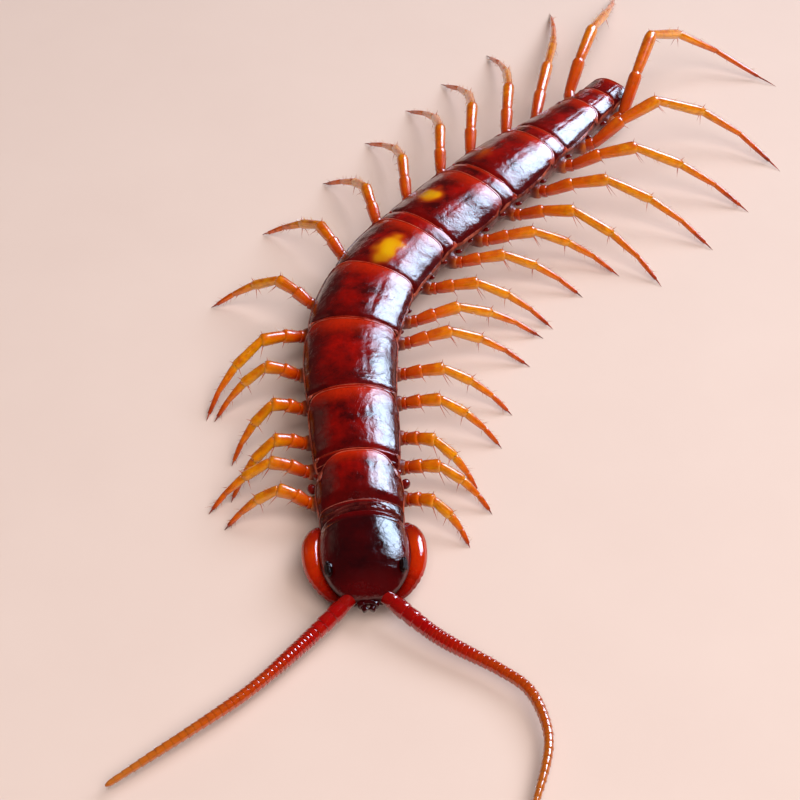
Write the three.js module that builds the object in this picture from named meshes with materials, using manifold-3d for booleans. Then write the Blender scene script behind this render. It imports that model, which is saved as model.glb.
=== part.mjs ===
// A stone centipede, life size, standing on its thirty walking legs with its tail swung to one side.
// Millimetres, +Z up. The head points towards -Y, and the animal's left side is +X at the head.
import * as THREE from 'three';
import { LoftGeometry } from 'three/addons/geometries/LoftGeometry.js';
import { mergeVertices } from 'three/addons/utils/BufferGeometryUtils.js';
import Module from 'manifold-3d';

const wasm = await Module();
wasm.setup();

// Driving sizes of the body, measured along its bent midline from the front of the head.
const seam = 0.25;
const headLength = 3.0;
const collarLength = 0.55;
const plateLengths = [
  1.75, 0.7, 2.05, 0.85, 2.6, 0.8, 2.25, 2.65, 1.1, 2.65, 1.15, 2.6, 1.15, 2.4, 1.2, 0.95,
];
const shortPlates = [2, 4, 6, 9, 11, 13, 15, 16];
const horned = [9, 11, 13];
const legPairs = 15;

// The midline: from the front of the head, a straight front that turns into a tail swung to the
// animal's left. The origin is on the floor, in the middle of the model's box.
const headFront = new THREE.Vector2(-4.7, -14.35);
const frontHeading = -4.5;
const tailSwing = 44;
const bendStart = 8;
const bendEnd = 19.5;
const step = 0.1;

// Heights above the floor.
const bellyHeight = 0.75;
const archDrop = 0.38;
const edgeDrop = 0.06;
const hipDrop = 0.5;
const frontRidge = 1.98;
const trunkRidge = 2.42;
const tailDrop = 0.55;

// Leg pose, first pair to last: how far each foot stands from its root, and how far the leg is
// swung towards the tail in degrees. The feet bunch and spread as in a slow walk.
const leftReach = [2.6, 3.3, 3.1, 3.75, 4.15, 4.7, 5.05, 4.75, 4.95, 5.4, 6.3, 7.1, 7.5, 8.1, 8.5];
const leftSwing = [-36, -26, -34, -19, -12, 8, 20, 17, 29, 32, 12, 22, 28, 38, 68];
const rightReach = [3.1, 3.65, 3.15, 3.0, 3.35, 4.7, 4.3, 4.6, 5.0, 6.0, 6.6, 7.2, 7.9, 10.2, 10.2];
const rightSwing = [-2, -11, -28, -27, -18, -49, 3, 13, 24, 32, 37, 41, 46, 57, 66];

// Legs: natural length grows to the rear, and the last two pairs are the longest.
const firstLegLength = 4.2;
const legGrowth = 0.3;
const lastLegExtra = 2.2;
const legBow = 0.1;
const lastLeftBow = 0.34;
const lastRightBow = 0.03;
const lastRootOut = 1.12;

// How high a knee stands over its root: low on the front legs, and on the rear ones higher with
// the length that the leg has to spare.
const lowKneeLeft = 0.3;
const lowKneeRight = 0.6;
const highKnee = 0.34;
const spareShare = 0.22;
const lastKneeLift = 0.45;

const legRadius = 0.27;
const clawRadius = 0.07;
const footHeight = 0.03;
const spurLength = 0.55;
const spurredJoints = [2, 5, 7];
const legSides = 6;

// Hips: a short stub on the trunk that takes up part of the leg's swing.
const hipLength = 0.6;
const hipShare = 0.5;
const hipSwing = 30;
const hipTilt = 0.15;

const radians = THREE.MathUtils.degToRad;
const { smoothstep, lerp } = THREE.MathUtils;

// Midline and body frame

function heading(s) {
  return radians(frontHeading + tailSwing * smoothstep(s, bendStart, bendEnd));
}

function traceMidline(length) {
  const points = [new THREE.Vector2(0, 0)];
  for (let s = step / 2; s < length; s += step) {
    const last = points[points.length - 1];
    const turn = heading(s);
    points.push(new THREE.Vector2(last.x + step * Math.sin(turn), last.y + step * Math.cos(turn)));
  }
  return points;
}

const bodyEnd = headLength + collarLength + plateLengths.reduce((sum, length) => sum + length, 0);
const midline = traceMidline(bodyEnd + 2);

// A point of the body frame: s along the midline, x to the animal's left, z above the floor.
function at(s, x, z) {
  const turn = heading(s);
  const place = new THREE.Vector2();
  if (s <= 0) {
    place.set(s * Math.sin(turn), s * Math.cos(turn));
  } else {
    const index = Math.min(Math.floor(s / step), midline.length - 2);
    place.lerpVectors(midline[index], midline[index + 1], s / step - index);
  }
  place.add(headFront);
  return new THREE.Vector3(place.x + x * Math.cos(turn), place.y - x * Math.sin(turn), z);
}

function ridge(s) {
  const rise = smoothstep(s, headLength, 9);
  return lerp(frontRidge, trunkRidge, rise) - tailDrop * smoothstep(s, 22, bodyEnd);
}

function halfWidth(s) {
  return 1.43 + 0.27 * smoothstep(s, 3, 13) - 0.8 * smoothstep(s, 21, bodyEnd);
}

// Hips sit just below the edges of the back plates.
function rootHeight(s) {
  return ridge(s) - archDrop * halfWidth(s) - edgeDrop - hipDrop;
}

const plateStarts = [];
plateLengths.reduce((start, length) => {
  plateStarts.push(start);
  return start + length;
}, headLength + collarLength);

// Solids

function solid(geometry) {
  const bare = new THREE.BufferGeometry();
  bare.setAttribute('position', geometry.attributes.position);
  bare.setIndex(geometry.index);
  const merged = mergeVertices(bare, 1e-5);
  const vertProperties = new Float32Array(merged.attributes.position.array);
  const triVerts = new Uint32Array(merged.index.array);
  return new wasm.Manifold(new wasm.Mesh({ numProp: 3, vertProperties, triVerts }));
}

function largest(manifold) {
  const pieces = manifold.decompose();
  return pieces.reduce((best, piece) => (piece.volume() > best.volume() ? piece : best));
}

function geometryOf(manifold) {
  const mesh = largest(manifold).getMesh();
  const geometry = new THREE.BufferGeometry();
  geometry.setAttribute('position', new THREE.BufferAttribute(new Float32Array(mesh.vertProperties), 3));
  geometry.setIndex(new THREE.BufferAttribute(new Uint32Array(mesh.triVerts), 1));
  const flat = geometry.toNonIndexed();
  flat.computeVertexNormals();
  return flat;
}

function loft(sections) {
  return solid(new LoftGeometry(sections, { closed: true, capStart: true, capEnd: true }));
}

// One ring of a tube: it starts at the top and turns towards the right of the direction of travel.
function ring(center, along, wide, high, sides) {
  const direction = along.clone().normalize();
  const up = new THREE.Vector3(0, 0, 1).addScaledVector(direction, -direction.z).normalize();
  const across = direction.clone().cross(up);
  const points = [];
  for (let i = 0; i < sides; i += 1) {
    const angle = (2 * Math.PI * i) / sides;
    const point = center.clone().addScaledVector(up, high * Math.cos(angle));
    points.push(point.addScaledVector(across, wide * Math.sin(angle)));
  }
  return points;
}

// A tube along joints, each { point, radius }, with its rings square to the mean direction, or to
// the joint's own along.
function tube(joints, sides, flatten = 1) {
  const sections = joints.map((joint, i) => {
    const before = joints[Math.max(i - 1, 0)].point;
    const after = joints[Math.min(i + 1, joints.length - 1)].point;
    const along = joint.along ?? after.clone().sub(before);
    return ring(joint.point, along, joint.radius, joint.radius * flatten, sides);
  });
  return loft(sections);
}

// Trunk

// The rear margin of a plate: how far it lies behind its station at x = u, as a part of the width.
function rearMargin(plate, u) {
  const curve = plate === 0 ? 0 : 0.1 * u * u;
  const horn = horned.includes(plate) ? 0.27 * smoothstep(Math.abs(u), 0.4, 0.95) : 0;
  return curve + horn;
}

// Half a cross-section from the ridge down to the belly, as parts of the half width and heights.
function halfSection(wide, top, plateWidth) {
  const drop = archDrop * wide;
  const arch = [0.34, 0.62, 0.84, 0.97].map((u) => [u * plateWidth, top - drop * u ** 2.2]);
  const edge = top - drop - edgeDrop;
  return [
    [0, top],
    ...arch,
    [plateWidth, edge],
    [plateWidth * 0.95, edge - 0.12],
    [0.82, edge - 0.16],
    [0.86, (edge + bellyHeight) / 2 - 0.05],
    [0.6, bellyHeight + 0.04],
    [0, bellyHeight],
  ];
}

function trunkSection(s, wide, top, plateWidth, shift) {
  const half = halfSection(wide, top, plateWidth);
  const left = half.map(([u, z]) => at(s + shift(u), u * wide, z));
  const right = half.slice(1, -1).reverse().map(([u, z]) => at(s + shift(-u), -u * wide, z));
  return [...left, ...right];
}

// Where along a plate its sections stand, how wide the plate is there, and its raised rim.
const longStations = [
  [0, 0.94, -0.05], [0.1, 0.985, 0], [0.5, 1, 0], [0.86, 0.99, 0], [0.95, 0.97, 0.04], [1, 0.9, 0.02],
];
const shortStations = [[0, 0.93, -0.03], [0.3, 0.96, 0], [0.8, 0.96, 0.03], [1, 0.88, 0.01]];

function trunkSegment(plate) {
  const start = plateStarts[plate - 1] + seam / 2;
  const length = plateLengths[plate - 1] - seam;
  const short = shortPlates.includes(plate);
  const lower = short ? 0.1 : 0;
  const sections = (short ? shortStations : longStations).map(([v, plateWidth, rim]) => {
    const s = start + length * v;
    const shift = (u) => lerp(rearMargin(plate - 1, u), rearMargin(plate, u), v);
    return trunkSection(s, halfWidth(s), ridge(s) - lower + rim, plateWidth, shift);
  });
  return loft(sections);
}

// The tail end narrows to a blunt tip behind the last legs.
function tailTip() {
  const plate = plateLengths.length;
  const start = plateStarts[plate - 1] + seam / 2;
  const stations = [[0, 0.7, 0], [0.35, 0.62, 0.05], [0.75, 0.46, 0.18], [1, 0.26, 0.32]];
  return loft(stations.map(([v, part, drop]) => {
    const s = start + plateLengths[plate - 1] * v;
    const shift = (u) => rearMargin(plate - 1, u) * (1 - v);
    return trunkSection(s, halfWidth(s) * part, ridge(s) - 0.1 - drop, 0.95, shift);
  }));
}

// Legs

function legLength(pair) {
  return firstLegLength + legGrowth * (pair - 1) + lastLegExtra * smoothstep(pair, 12.5, 15);
}

// Where a pair's hips stand along its plate.
function rootPart(pair) {
  if (pair === legPairs) return 0.7;
  return shortPlates.includes(pair) ? 0.5 : 0.44;
}

function legPose(pair, side) {
  const reach = side > 0 ? leftReach[pair - 1] : rightReach[pair - 1];
  const swing = side > 0 ? leftSwing[pair - 1] : rightSwing[pair - 1];
  const last = pair === legPairs;
  const s = plateStarts[pair - 1] + plateLengths[pair - 1] * rootPart(pair);
  const turn = heading(s);
  const outward = new THREE.Vector3(side * Math.cos(turn), -side * Math.sin(turn), 0);
  const rearward = new THREE.Vector3(Math.sin(turn), Math.cos(turn), 0);
  const swung = (degrees) => {
    const angle = radians(degrees);
    return outward.clone().multiplyScalar(Math.cos(angle)).addScaledVector(rearward, Math.sin(angle));
  };
  const hipAway = swung(THREE.MathUtils.clamp(swing * hipShare, -hipSwing, hipSwing));
  hipAway.z = hipTilt;
  hipAway.normalize();
  const root = at(s, side * halfWidth(s) * (last ? lastRootOut : 0.97), rootHeight(s));
  const foot = root.clone().addScaledVector(swung(swing), reach).setZ(footHeight);
  const start = root.clone().addScaledVector(hipAway, seam);
  const span = foot.clone().sub(start).setZ(0);
  const towards = span.clone().normalize();
  const bowing = new THREE.Vector3(-towards.y, towards.x, 0).multiplyScalar(side);
  const spare = Math.sqrt(Math.max(legLength(pair) ** 2 - reach ** 2, 0.6));
  const tall = smoothstep(pair, 9.5, 12.5);
  const lift = lerp(side > 0 ? lowKneeLeft : lowKneeRight, highKnee + spareShare * spare, tall);
  const knee = root.z + lift + (last ? lastKneeLift : 0);
  const lastBow = side > 0 ? lastLeftBow : lastRightBow;
  const bow = lerp(legBow, lastBow, smoothstep(pair, side > 0 ? 13.5 : 11.5, legPairs - 0.5)) * reach;
  return { root, start, foot, span, towards, bowing, hipAway, knee, bow };
}

// Rings of a leg: part of the way from hip to claw, height as a part of the knee's, and thickness.
// Thigh, second thigh, shin and the two lengths of the foot each swell towards their far end.
const kneePart = 0.34;
const bowPeak = 5.4;
const legForm = [
  [0, 0, 0.9], [0.04, 0.14, 0.95], [0.15, 0.62, 1.06], [0.175, 0.7, 0.86],
  [0.28, 0.95, 1.08], [kneePart, 1, 1.0], [0.37, 0.98, 0.76],
  [0.59, 0.66, 0.84], [0.62, 0.62, 0.6],
  [0.79, 0.34, 0.56], [0.81, 0.31, 0.45],
  [0.93, 0.08, 0.36], [1, 0, 0.2],
];

function legPoint(pose, part, height) {
  const point = pose.start.clone().addScaledVector(pose.span, part);
  point.addScaledVector(pose.bowing, pose.bow * bowPeak * part ** 1.5 * (1 - part));
  point.z = lerp(part < kneePart ? pose.start.z : footHeight, pose.knee, height);
  return point;
}

function spur(joint, pose, base) {
  const direction = pose.towards.clone().multiplyScalar(0.75).addScaledVector(pose.bowing, -0.25);
  direction.z = -0.6;
  direction.normalize();
  const from = joint.clone().addScaledVector(direction, base * 0.3);
  const middle = joint.clone().addScaledVector(direction, base + spurLength * 0.45);
  const tip = joint.clone().addScaledVector(direction, base + spurLength);
  const joints = [[from, 0.1], [middle, 0.065], [tip, 0.02]].map(([point, radius]) => ({ point, radius }));
  return tube(joints, 4);
}

function legThickness(pair) {
  return legRadius * (1 + 0.12 * smoothstep(pair, 10, 15));
}

function leg(pair, side) {
  const pose = legPose(pair, side);
  const joints = legForm.map(([part, height, thickness]) => {
    const radius = Math.max(legThickness(pair) * thickness, clawRadius);
    return { point: legPoint(pose, part, height), radius };
  });
  joints[0].along = pose.hipAway;
  let shape = tube(joints, legSides);
  for (const index of spurredJoints) {
    shape = shape.add(spur(joints[index].point, pose, joints[index].radius));
  }
  return shape.trimByPlane([0, 0, 1], 0);
}

// The hip is fused to the trunk: a stub that ends flat, one seam short of the leg's own first face.
function hip(pair, side) {
  const { root, hipAway } = legPose(pair, side);
  const radius = legThickness(pair) * legForm[0][2];
  const joints = [[hipLength, 1.05], [hipLength * 0.4, 1.08], [0, 1]].map(([back, part]) => {
    return { point: root.clone().addScaledVector(hipAway, -back), radius: radius * part, along: hipAway };
  });
  return tube(joints, legSides);
}

// Head and mouthparts

// Head outline from front to rear: distance, half width, top and underside.
const headForm = [
  [0, 0.48, 1.14, 0.86], [0.12, 0.74, 1.3, 0.84], [0.4, 1.04, 1.5, 0.86], [0.85, 1.29, 1.75, 0.88],
  [1.4, 1.43, 1.9, 0.9], [2, 1.46, 1.97, 0.9], [2.5, 1.4, 2.02, 0.9], [2.72, 1.33, 2.0, 0.9],
  [2.8, 1.29, 2.04, 0.9], [2.9, 1.22, 1.98, 0.92],
];

function headSection([s, wide, top, under]) {
  const points = [];
  const sides = 24;
  const middle = lerp(under, top, 0.36);
  for (let i = 0; i < sides; i += 1) {
    const angle = (2 * Math.PI * i) / sides;
    const up = Math.cos(angle);
    const out = Math.sin(angle);
    const reach = up > 0 ? top - middle : under - middle;
    const height = middle + reach * Math.abs(up) ** 0.82;
    points.push(at(s, wide * Math.sign(out) * Math.abs(out) ** 0.9, height));
  }
  return points;
}

// Fangs: they curve round the sides of the head and meet below its front. Each ring is given as
// distance from the midline, station, height and radius; grow makes the room round a fang.
const fangPath = [
  [1.05, 3.0, 0.66, 0.3], [1.42, 2.86, 0.86, 0.36], [1.6, 2.45, 0.98, 0.38], [1.65, 1.85, 1.0, 0.36],
  [1.59, 1.35, 0.93, 0.32], [1.39, 0.9, 0.78, 0.27], [1.08, 0.58, 0.6, 0.21], [0.7, 0.42, 0.46, 0.14],
  [0.32, 0.4, 0.38, 0.05],
];

function fang(side, grow) {
  const joints = fangPath.map(([x, s, z, radius]) => {
    return { point: at(s, side * x, z), radius: radius + grow };
  });
  for (const [end, next] of [[0, 1], [joints.length - 1, joints.length - 2]]) {
    const point = joints[end].point;
    point.addScaledVector(point.clone().sub(joints[next].point).normalize(), grow);
  }
  return tube(joints, 8, 0.92);
}

// The segment that carries the fangs: a narrow collar behind the head and a broad plate below it.
function fangSegment() {
  const start = headLength + seam / 2 - 0.05;
  const length = collarLength - seam + 0.05;
  const collar = loft([[0, 0.87, 0.02], [0.5, 0.9, 0.08], [1, 0.88, 0.02]].map(([v, part, rim]) => {
    const s = start + length * v;
    return trunkSection(s, halfWidth(s) * part, ridge(s) - 0.08 + rim, 0.96, () => 0);
  }));
  const plateForm = [[0.95, 0.5], [1.3, 0.72], [2.2, 0.82], [3, 0.86], [start + length, 0.84]];
  const plate = loft(plateForm.map(([s, wide]) => {
    const rise = 0.2 * smoothstep(s, 2.6, 3.4);
    return ring(at(s, 0, 0.42 + rise / 2), at(s + 1, 0, 0).sub(at(s, 0, 0)), wide, 0.2 + rise, 12);
  }));
  let shape = collar.add(plate);
  for (const x of [-0.34, -0.13, 0.13, 0.34]) {
    const tooth = [[1.15, 0.1], [0.85, 0.07], [0.7, 0.03]];
    shape = shape.add(tube(tooth.map(([s, radius]) => ({ point: at(s, x, 0.45), radius })), 4));
  }
  return shape.subtract(fang(1, seam)).subtract(fang(-1, seam));
}

// Two short feelers of the mouth, fused under the head's front, show as a point between the antennae.
function palp(side) {
  const joints = [
    [0.24, 0.6, 0.92, 0.2], [0.26, 0.15, 0.86, 0.15], [0.16, -0.1, 0.84, 0.11], [0.08, -0.22, 0.8, 0.05],
  ];
  return tube(joints.map(([x, s, z, radius]) => ({ point: at(s, side * x, z), radius })), 6);
}

// Eyes: a low cluster of single lenses on each side of the head's front.
const eyeSpot = { s: 0.98, x: 1.17, z: 1.5 };
const lensRows = [[-0.2, -0.02], [0, -0.1], [0.2, -0.04], [-0.11, 0.12], [0.1, 0.11]];

function eye(side, grow) {
  const center = at(eyeSpot.s, side * eyeSpot.x, eyeSpot.z);
  const outward = at(eyeSpot.s - 0.35, side * (eyeSpot.x + 1), eyeSpot.z + 0.75).sub(center).normalize();
  const along = at(eyeSpot.s + 1, side * eyeSpot.x, eyeSpot.z + 0.3).sub(center).normalize();
  const up = outward.clone().cross(along).normalize().multiplyScalar(side);
  const pad = new THREE.SphereGeometry(1, 10, 6);
  const place = new THREE.Matrix4().makeBasis(
    along.clone().multiplyScalar(0.32 + grow),
    outward.clone().multiplyScalar(0.15 + grow),
    along.clone().cross(outward).multiplyScalar(0.21 + grow),
  ).setPosition(center);
  let shape = solid(pad.applyMatrix4(place));
  if (grow === 0) {
    for (const [a, b] of lensRows) {
      const lens = new THREE.IcosahedronGeometry(0.085, 0);
      const spot = center.clone().addScaledVector(outward, 0.12);
      spot.addScaledVector(along, a).addScaledVector(up, b);
      shape = shape.add(solid(lens.translate(spot.x, spot.y, spot.z)));
    }
  }
  return shape;
}

// Antennae: points are out from the midline, ahead of the head, and height.
const antennaPaths = {
  left: [
    [0.46, -0.36, 0.94], [0.92, 0.16, 0.87], [2.1, 1.32, 0.66], [3.8, 2.6, 0.56],
    [4.6, 3.45, 0.58], [4.95, 4.75, 0.55], [4.9, 5.6, 0.52], [4.35, 7.2, 0.45], [4.0, 8.0, 0.4],
  ],
  right: [
    [-0.46, -0.36, 0.94], [-0.93, 0.16, 0.87], [-2.2, 1.36, 0.66], [-3.85, 2.88, 0.56],
    [-5.55, 4.15, 0.55], [-6.8, 5.0, 0.5], [-8.0, 5.8, 0.42],
  ],
};
const antennaRings = 24;

function antennaRadius(part) {
  return lerp(0.3, 0.25, smoothstep(part, 0, 0.5)) - 0.13 * smoothstep(part, 0.45, 1);
}

function antenna(name) {
  const points = antennaPaths[name].map(([x, ahead, z]) => at(-ahead, x, z));
  const curve = new THREE.CatmullRomCurve3(points, false, 'centripetal');
  const joints = [];
  for (let i = 0; i < antennaRings; i += 1) {
    const part = i / antennaRings;
    const radius = antennaRadius(part);
    joints.push({ point: curve.getPointAt(part), radius: radius * 0.84 });
    joints.push({ point: curve.getPointAt(part + 0.7 / antennaRings), radius });
  }
  joints.push({ point: curve.getPointAt(1), radius: 0.08 });
  return tube(joints, legSides);
}

// The room that an antenna's root needs in the head.
function antennaSocket(name) {
  const points = antennaPaths[name].slice(0, 3).map(([x, ahead, z]) => at(-ahead, x, z));
  const back = points[0].clone().sub(points[1]).normalize();
  points[0].addScaledVector(back, seam);
  return tube(points.map((point) => ({ point, radius: antennaRadius(0) + seam * 0.8 })), 8);
}

function head() {
  let shape = loft(headForm.map(headSection));
  for (const side of [-1, 1]) {
    shape = shape.add(palp(side));
  }
  for (const side of [-1, 1]) {
    shape = shape.subtract(fang(side, seam)).subtract(eye(side, seam * 0.6));
  }
  for (const name of ['left', 'right']) {
    shape = shape.subtract(antennaSocket(name));
  }
  return shape;
}

// Assembly

const finishes = {
  shell: { color: 0x7a0d08, roughness: 0.28, metalness: 0 },
  head: { color: 0x2c0405, roughness: 0.22, metalness: 0 },
  fang: { color: 0xa81c08, roughness: 0.2, metalness: 0 },
  leg: { color: 0xd0720e, roughness: 0.4, metalness: 0 },
  antenna: { color: 0xa8300c, roughness: 0.4, metalness: 0 },
  eye: { color: 0x0c0303, roughness: 0.15, metalness: 0 },
};

const group = new THREE.Group();

function addPiece(name, shape, finish) {
  const mesh = new THREE.Mesh(geometryOf(shape), new THREE.MeshStandardMaterial(finishes[finish]));
  mesh.name = name;
  group.add(mesh);
}

addPiece('head', head(), 'head');
addPiece('forcipule_base', fangSegment(), 'fang');
for (const [name, side] of [['left', 1], ['right', -1]]) {
  addPiece(`eye_${name}`, eye(side, 0), 'eye');
  addPiece(`antenna_${name}`, antenna(name), 'antenna');
  addPiece(`forcipule_${name}`, fang(side, 0), 'fang');
}
for (let plate = 1; plate <= plateLengths.length; plate += 1) {
  const number = String(plate).padStart(2, '0');
  let shape = plate > legPairs ? tailTip() : trunkSegment(plate);
  if (plate <= legPairs) {
    for (const [name, side] of [['left', 1], ['right', -1]]) {
      shape = shape.add(hip(plate, side));
      addPiece(`leg_${name}_${number}`, leg(plate, side), 'leg');
    }
  }
  addPiece(`segment_${number}`, shape, 'shell');
}

export default group;
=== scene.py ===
# A stone centipede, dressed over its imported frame.
# Pieces are made on a bench where one unit is a millimetre and the body lies straight along +Y,
# with +X to the animal's left. settle() then bends a piece onto the real midline, in metres.
import math
import random

import bpy
from mathutils import Matrix, Vector, noise


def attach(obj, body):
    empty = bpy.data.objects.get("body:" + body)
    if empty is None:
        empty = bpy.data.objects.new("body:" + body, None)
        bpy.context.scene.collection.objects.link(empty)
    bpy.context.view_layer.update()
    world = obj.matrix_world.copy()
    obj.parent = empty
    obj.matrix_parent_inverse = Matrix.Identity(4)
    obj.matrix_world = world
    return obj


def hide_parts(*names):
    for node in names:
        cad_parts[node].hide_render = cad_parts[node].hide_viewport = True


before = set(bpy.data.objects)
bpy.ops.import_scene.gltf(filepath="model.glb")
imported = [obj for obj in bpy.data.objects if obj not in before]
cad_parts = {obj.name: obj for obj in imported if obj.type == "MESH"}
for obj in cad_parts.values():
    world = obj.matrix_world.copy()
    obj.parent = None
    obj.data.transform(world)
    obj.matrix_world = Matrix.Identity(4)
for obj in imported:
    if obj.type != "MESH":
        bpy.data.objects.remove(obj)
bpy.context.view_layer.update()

mm = 0.001
print("frame loaded,", len(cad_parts), "nodes")

# The camera stands in front of the head and looks down over the animal to its tail.
view = {
    "place": (-3.72, -51.57, 45.64), "pitch": 44, "lens": 83.7, "sensor": 36, "clip": (0.001, 5),
}
bpy.ops.object.camera_add(
    location=[c * mm for c in view["place"]], rotation=(math.radians(90 - view["pitch"]), 0, 0)
)
camera = bpy.context.object
camera.data.lens = view["lens"]
camera.data.sensor_width = view["sensor"]
camera.data.clip_start, camera.data.clip_end = view["clip"]
bpy.context.scene.camera = camera

# The body plan has the same sizes as the solids.
body = {
    "headFront": (-4.7, -14.35),
    "headLength": 3.0,
    "collar": 0.55,
    "plates": [
        1.75, 0.7, 2.05, 0.85, 2.6, 0.8, 2.25, 2.65, 1.1, 2.65, 1.15, 2.6, 1.15, 2.4, 1.2, 0.95,
    ],
    "short": [2, 4, 6, 9, 11, 13, 15, 16],
    "horned": [9, 11, 13],
    "horn": (0.27, 0.4, 0.95),  # its length, and the parts of the half width it grows between
    "rearCurve": 0.1,
    # the midline sets off by this heading and swings between two stations, both in degrees; it is
    # traced in small steps, and runs on a little beyond the tail
    "heading": -4.5,
    "swing": 44,
    "bend": (8, 19.5),
    "step": 0.1,
    "beyond": 2,
    "belly": 0.75,
    "arch": 0.38,
    "archPower": 2.2,
    "edge": 0.06,
    "hip": 0.5,
    "width": {"head": 1.43, "gain": 0.27, "gainOver": (3, 13), "loss": 0.8, "lossFrom": 21},
    "ridge": {"head": 1.98, "middle": 2.42, "riseTo": 9, "tailDrop": 0.55, "dropFrom": 22},
    "pairs": 15,
}
bodyEnd = body["headLength"] + body["collar"] + sum(body["plates"])
sideNames = {1: "left", -1: "right"}


def smoothstep(value, low, high):
    part = max(0.0, min(1.0, (value - low) / (high - low)))
    return part * part * (3 - 2 * part)


def lerp(a, b, part):
    return a + (b - a) * part


def hump(value, centre, width):
    return math.exp(-(((value - centre) / width) ** 2))


def bowed(value, power):
    return math.copysign(abs(value) ** power, value)


def wander(row, x, y, z):
    # a smooth random swell; the row is its size and how fast it changes along each way
    size, a, b, c = row
    return size * noise.noise(Vector((x * a, y * b, z * c)))


def heading(s):
    return math.radians(body["heading"] + body["swing"] * smoothstep(s, *body["bend"]))


def traceMidline():
    points = [Vector((0, 0))]
    step = body["step"]
    s = step / 2
    while s < bodyEnd + body["beyond"]:
        turn = heading(s)
        points.append(points[-1] + Vector((math.sin(turn), math.cos(turn))) * step)
        s += step
    return points


midline = traceMidline()


def at(s, x, z):
    # s along the midline, x to the animal's left, z above the floor
    turn = heading(s)
    if s <= 0:
        place = Vector((math.sin(turn), math.cos(turn))) * s
    else:
        index = min(int(s / body["step"]), len(midline) - 2)
        place = midline[index].lerp(midline[index + 1], s / body["step"] - index)
    front = body["headFront"]
    across, back = x * math.cos(turn), x * math.sin(turn)
    return Vector((place.x + front[0] + across, place.y + front[1] - back, z))


def ridge(s):
    line = body["ridge"]
    height = lerp(line["head"], line["middle"], smoothstep(s, body["headLength"], line["riseTo"]))
    return height - line["tailDrop"] * smoothstep(s, line["dropFrom"], bodyEnd)


def halfWidth(s):
    width = body["width"]
    gain = width["gain"] * smoothstep(s, *width["gainOver"])
    return width["head"] + gain - width["loss"] * smoothstep(s, width["lossFrom"], bodyEnd)


def plateStart(number):
    return body["headLength"] + body["collar"] + sum(body["plates"][: number - 1])


def rearMargin(number, u):
    curve = body["rearCurve"] * u * u if number > 0 else 0
    size, low, high = body["horn"]
    return curve + (size * smoothstep(abs(u), low, high) if number in body["horned"] else 0)


def dropAll():
    for item in list(bpy.context.selected_objects):
        item.select_set(False)


def take(piece):
    dropAll()
    piece.select_set(True)
    bpy.context.view_layer.objects.active = piece


def openPiece(piece):
    # edit mode, with every face chosen
    take(piece)
    bpy.ops.object.mode_set(mode="EDIT")
    bpy.ops.mesh.select_mode(type="FACE")
    bpy.ops.mesh.select_all(action="SELECT")


def closePiece():
    bpy.ops.object.mode_set(mode="OBJECT")


def fitModifier(piece, kind, **values):
    take(piece)
    modifier = piece.modifiers.new(kind.title(), kind)
    for key, value in values.items():
        setattr(modifier, key, value)
    bpy.ops.object.modifier_apply(modifier=modifier.name)


def faceOut(piece):
    openPiece(piece)
    bpy.ops.mesh.normals_make_consistent(inside=False)
    closePiece()


def pullSphere(name, sides, levels, place):
    # a sphere whose rings are pulled to their places, so that both ends stay closed
    dropAll()
    bpy.ops.mesh.primitive_uv_sphere_add(segments=sides, ring_count=levels - 1, radius=1)
    piece = bpy.context.object
    piece.name = name
    for vertex in piece.data.vertices:
        level = round(math.acos(max(-1, min(1, vertex.co.z))) / math.pi * (levels - 1))
        vertex.co = place(level, math.atan2(vertex.co.x, vertex.co.y))
    faceOut(piece)
    return piece


def makeSheet(columns, rows, place):
    # a flat grid whose corners lie at -1 and 1, with each of its points moved to its place
    dropAll()
    bpy.ops.mesh.primitive_grid_add(x_subdivisions=columns, y_subdivisions=rows, size=2)
    sheet = bpy.context.object
    for vertex in sheet.data.vertices:
        vertex.co = place(vertex.co.x, vertex.co.y)
    return sheet


def curveShares(t):
    # what a smooth curve takes of its start, of its slope there, of its end and of that slope
    square, cube = t * t, t ** 3
    return 2 * cube - 3 * square + 1, cube - 2 * square + t, 3 * square - 2 * cube, cube - square


def between(rows, position):
    # a row of numbers at a fractional place in a list of rows, on a smooth curve through them
    index = min(int(position), len(rows) - 2)
    start, leave, end, arrive = curveShares(position - index)
    before = rows[max(index - 1, 0)]
    after = rows[min(index + 2, len(rows) - 1)]
    return [
        start * b + leave * (c - a) / 2 + end * c + arrive * (d - b) / 2
        for a, b, c, d in zip(before, rows[index], rows[index + 1], after)
    ]


def rowAt(shape, level):
    rows = shape["rows"]
    return between(rows, level / (shape["levels"] - 1) * (len(rows) - 1))


def mark(piece, name, value):
    # a number kept on every vertex, for the finish to read
    layer = piece.data.attributes.new(name, "FLOAT", "POINT")
    layer.data.foreach_set("value", [value(vertex) for vertex in piece.data.vertices])


facing = {"under": (0.05, 0.42), "shadedBack": (0.1, 0.8)}


def markUnder(piece):
    # how far each place turns down to the floor, where the horn is dull, and where the lacquer is
    # darkened by painted shade
    mark(piece, "under", lambda vertex: 1 - smoothstep(vertex.normal.z, *facing["under"]))


def markShadedBack(piece):
    # how far each place looks up: there a leg is painted a deeper red, partly its own darker back
    # and partly painted shading that leaves its sides paler
    mark(piece, "shadedBack", lambda vertex: smoothstep(vertex.normal.z, *facing["shadedBack"]))


def frameAlong(start, end):
    # a turn that takes +Y to the way from start to end, and keeps +Z as near to up as it can
    along = (end - start).normalized()
    across = along.cross(Vector((0, 0, 1))).normalized()
    return Matrix((across, along, across.cross(along))).transposed()


def spoke(turn, angle):
    # the way out from a length of leg or feeler, at an angle round it
    return turn @ Vector((math.sin(angle), 0, math.cos(angle)))


def placeBetween(start, end, radius, high=None):
    turn = frameAlong(start, end).to_4x4()
    size = Matrix.Diagonal((radius, (end - start).length, high or radius, 1))
    return Matrix.Translation(start) @ turn @ size


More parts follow.
